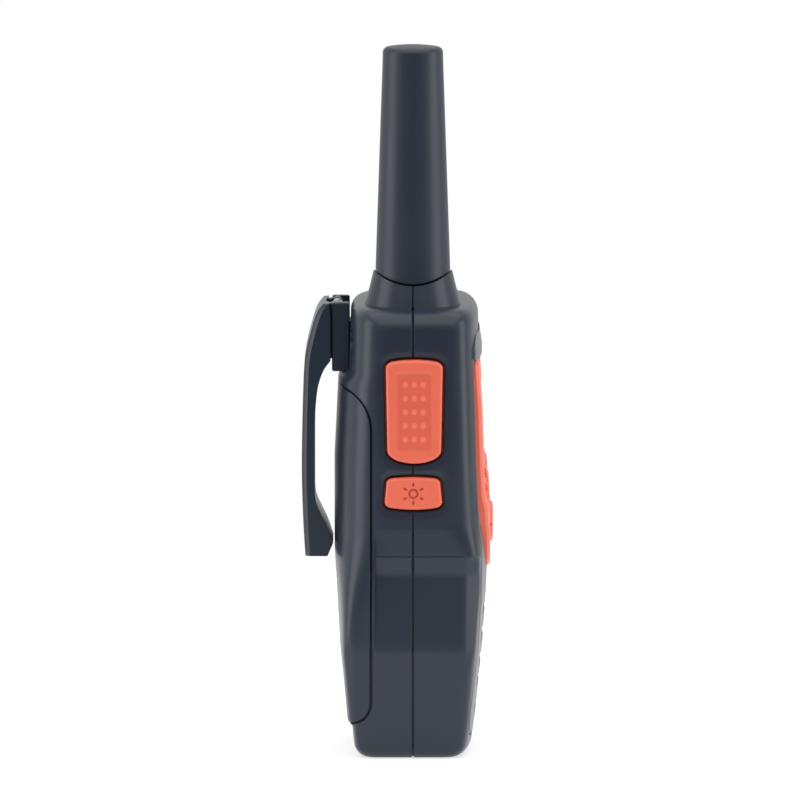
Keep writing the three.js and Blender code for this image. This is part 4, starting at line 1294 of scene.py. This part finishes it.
def clip_bracket():
    body = bevelled(prism("x", rounded_rectangle(14.5, 87.8, 18.56, 103.7, 0.5, 4), -9, 9), 0.4, 50)
    slot = (80, RAIL[1] + GAP)
    neck, back = RAIL_DEPTHS
    rail_slot = [bar(STEM_HALF + GAP, (10, neck), slot), bar(RAIL_HALF + GAP, (neck - GAP, back + GAP), slot)]
    room_for_eyes = [bar(EYES_HALF + GAP, (10, 30), (100.8, 110)), bar(3.6, (10, 30), (100.4, 110))]
    room_for_ribs = bar(6.3, (17.85, 30), (87, 110))
    bore = rod("x", PIN, PIN_RADIUS + 0.1, -8.7, 8.7)
    body = without(body, *rail_slot, *room_for_eyes, bore, room_for_ribs)
    finished(body, "clip_bracket_body", "clip_mount", clip_plastic, "clip_bracket")


def clip_spring():
    """Two short legs and a coil of radius 1 round the pin."""
    turns, half, steps = 4.5, 2.5, 24
    points = [(-half, PIN[0] + 3.4, PIN[1] - 7), (-half, PIN[0] + 2.2, PIN[1] - 3)]
    for i in range(int(turns * steps) + 1):
        angle = 2 * math.pi * i / steps
        x = -half + 2 * half * i / (turns * steps)
        points.append((x, PIN[0] + math.cos(angle), PIN[1] + math.sin(angle)))
    points.append((half, PIN[0] - 1, PIN[1] - 1.6))
    finished(
        coil(points, 0.2), "clip_spring_wire", "clip_mount", spring_steel, "clip_spring", weighted=False)


def clip_pin():
    finished(
        rod("x", PIN, PIN_RADIUS, -8.4, 8.4, 0.2), "clip_pin_rod", "clip_mount", spring_steel, "clip_pin")


clip_arm()
clip_bracket()
clip_spring()
clip_pin()


# ---------------------------------------------------------------- latch, jack cover, screws
def door_latch():
    outline = centred(LATCH_HALF, LATCH_LOW, LATCH_HIGH, 0.9)
    thumb = without(form((0.2, 0.2, 0), 2, 30, count=240, step=0.6), form((3, 3, 0), 0, 40, count=96))
    thumb = common(thumb, prism("y", outline, 13.9, 30))
    lines = [[(-4.4, z), (4.4, z)] for z in (9.7, 10.9, 12.1)]
    grip = [face_groove(line, 0.42, rear=True, closed=False, lift=-0.1) for line in lines]
    thumb = without(thumb, *grip, face_groove(outline, 0.4, rear=True, lift=-0.1))
    neck = bar(TONGUE_HALF, (12.8, 14.1), (9.3, 12.5))
    tongue = bevelled(bar(TONGUE_HALF, (12.2, 13), (6.6, 12.5)), 0.2)
    finished(joined(thumb, neck, tongue), "door_latch_slider", "latch", clip_plastic, "door_latch")


def jack_cover():
    def relief(points, distance):
        ribs = [[(-2.2, z), (2.2, z)] for z in (87.2, 88.4)]
        return rounded_edge(distance, 0.8) + strokes_relief(points, ribs, 0.6, 0.27) - 0.3

    flap = pillow(jack_outline(), "x", 28.2, 26.3, relief, 0.25)
    plugs = [rod("x", (0, z), 1.5, 25.2, 26.9, 0.25) for z in JACKS]
    finished(joined(flap, *plugs), "jack_cover_flap", "jack_flap", black_rubber, "jack_cover")


def top_screw(side, x):
    z, seat = SCREW_HEIGHT, SCREW_SEAT + GAP
    shank = rod("y", (x, z), 1.25, -8.5, seat + 0.2)
    head = rod("y", (x, z), 2.3, seat, seat + 1.6, 0.4)
    cross = [
        box((x - across, seat + 0.7, z - up), (x + across, 30, z + up))
        for across, up in ((1.35, 0.33), (0.33, 1.35))]
    dimple = turned([(0.15, seat + 0.5), (0.95, seat + 1.7)], "y", (x, z), 24)
    screw = without(joined(shank, head), *cross, dimple)
    name = "housing_screw_top_" + side
    finished(screw, name + "_metal", "housing", spring_steel, name)


door_latch()
jack_cover()
for side, x in SCREWS.items():
    top_screw(side, x)

# ---------------------------------------------------------------- CAD nodes that are shown as they are
CELLS = ("left", "middle", "right")
KEPT = [
    (display_glass, ["lcd_module"]),
    (circuit_board, ["main_board", "side_board"]),
    (tin_plate, ["rf_shield", "speaker", "microphone", *["battery_contact_" + cell for cell in CELLS]]),
    (pale_rubber, ["keypad_membrane"]),
    (black_rubber, ["ptt_switch", "light_switch", "charge_jack", "audio_jack"]),
    (speaker_mesh, ["speaker_cloth"]),
    (copper_wire, ["antenna_coil"]),
    (cell_jacket, ["battery_cell_" + cell for cell in CELLS]),
    (spring_steel, ["battery_spring_" + cell for cell in CELLS]),
    (spring_steel, ["housing_screw_bottom_left", "housing_screw_bottom_right"]),
]
for material, names in KEPT:
    for name in names:
        dressed(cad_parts[name], material, 30)

# ---------------------------------------------------------------- floor, light, camera
FLOOR_RADIUS = 0.32
FLOOR_THICKNESS = 0.004
FLOOR_GLOW = 0.62
ROOM_LIGHT = 0.72
ROOM_DIM = 0.1
ROOM_EDGE = 0.4
ROOM_DARK = 0.99
ROOM_DROP = 0.17                 # the dim part lies a little below the level of the radio
ROOM_FLATNESS = 2.5              # and is wider than high

floor_material = textured("floor_table", (0.5, 0.5, 0.5), 0.9, grain=300, relief=0.01, shade=0.005)
inputs_of(floor_material)["Emission Color"].default_value = WHITE
inputs_of(floor_material)["Emission Strength"].default_value = FLOOR_GLOW
disc = circle((0, 0), FLOOR_RADIUS, 128)
floor = loft([laid(disc, "z", -FLOOR_THICKNESS), laid(disc, "z", 0)])
floor.name = "floor"
floor.data.materials.append(floor_material)


def studio_world():
    """A bright, even room that is dim only straight ahead of the radio's left side, on white."""
    world = bpy.data.worlds.new("studio")
    bpy.context.scene.world = world
    world.use_nodes = True
    tree = world.node_tree
    place = node(tree, "TexCoord").outputs["Generated"]
    lowered = node(tree, "VectorMath", {1: (0, 0, ROOM_DROP)}, {0: place}).outputs["Vector"]
    flattened = node(
        tree, "VectorMath", {1: (1, 1, ROOM_FLATNESS)}, {0: lowered}, operation="MULTIPLY").outputs["Vector"]
    direction = node(tree, "VectorMath", {}, {0: flattened}, operation="NORMALIZE").outputs["Vector"]
    towards = node(tree, "VectorMath", {1: (-1, 0, 0)}, {0: direction}, operation="DOT_PRODUCT")
    levels = {"From Min": ROOM_EDGE, "From Max": ROOM_DARK, "To Min": ROOM_LIGHT, "To Max": ROOM_DIM}
    level = node(tree, "MapRange", levels, {"Value": towards.outputs["Value"]})
    room = node(tree, "Background", {"Color": WHITE}, {"Strength": level.outputs["Result"]})
    backdrop = node(tree, "Background", {"Color": WHITE})
    seen = node(tree, "LightPath").outputs["Is Camera Ray"]
    shaders = {1: room.outputs["Background"], 2: backdrop.outputs["Background"]}
    either = node(tree, "MixShader", {}, {"Fac": seen, **shaders})
    tree.links.new(either.outputs["Shader"], tree.nodes["World Output"].inputs["Surface"])


studio_world()


def soft_light(name, place, target, size, power):
    data = bpy.data.lights.new(name, "AREA")
    data.shape = "RECTANGLE"
    data.size, data.size_y = size
    data.energy = power
    obj = bpy.data.objects.new(name, data)
    obj.location = place
    obj.rotation_euler = (target - Vector(place)).to_track_quat("-Z", "Y").to_euler()
    bpy.context.scene.collection.objects.link(obj)


MIDDLE = Vector((0, 0, 0.08))
soft_light("top", (-0.15, 0, 0.8), MIDDLE, (1.2, 1.4), 6)
soft_light("front_side", (-0.12, -0.7, 0.15), MIDDLE, (0.4, 0.8), 2)
soft_light("rear_side", (-0.12, 0.7, 0.15), MIDDLE, (0.4, 0.8), 2)

AIM = Vector((0, -0.0006, 0.0802))
DISTANCE = 3.0
ELEVATION = math.radians(6.5)
FRAME_WIDTH = 0.184
SENSOR_WIDTH = 36
camera_data = bpy.data.cameras.new("camera")
camera_data.sensor_width = SENSOR_WIDTH
camera_data.lens = SENSOR_WIDTH * DISTANCE / FRAME_WIDTH
camera_data.clip_end = 50
camera = bpy.data.objects.new("camera", camera_data)
direction = Vector((-math.cos(ELEVATION), 0, math.sin(ELEVATION)))
camera.location = AIM + DISTANCE * direction
camera.rotation_euler = (-direction).to_track_quat("-Z", "Y").to_euler()
bpy.context.scene.collection.objects.link(camera)
bpy.context.scene.camera = camera
bpy.context.scene.view_settings.view_transform = "Standard"
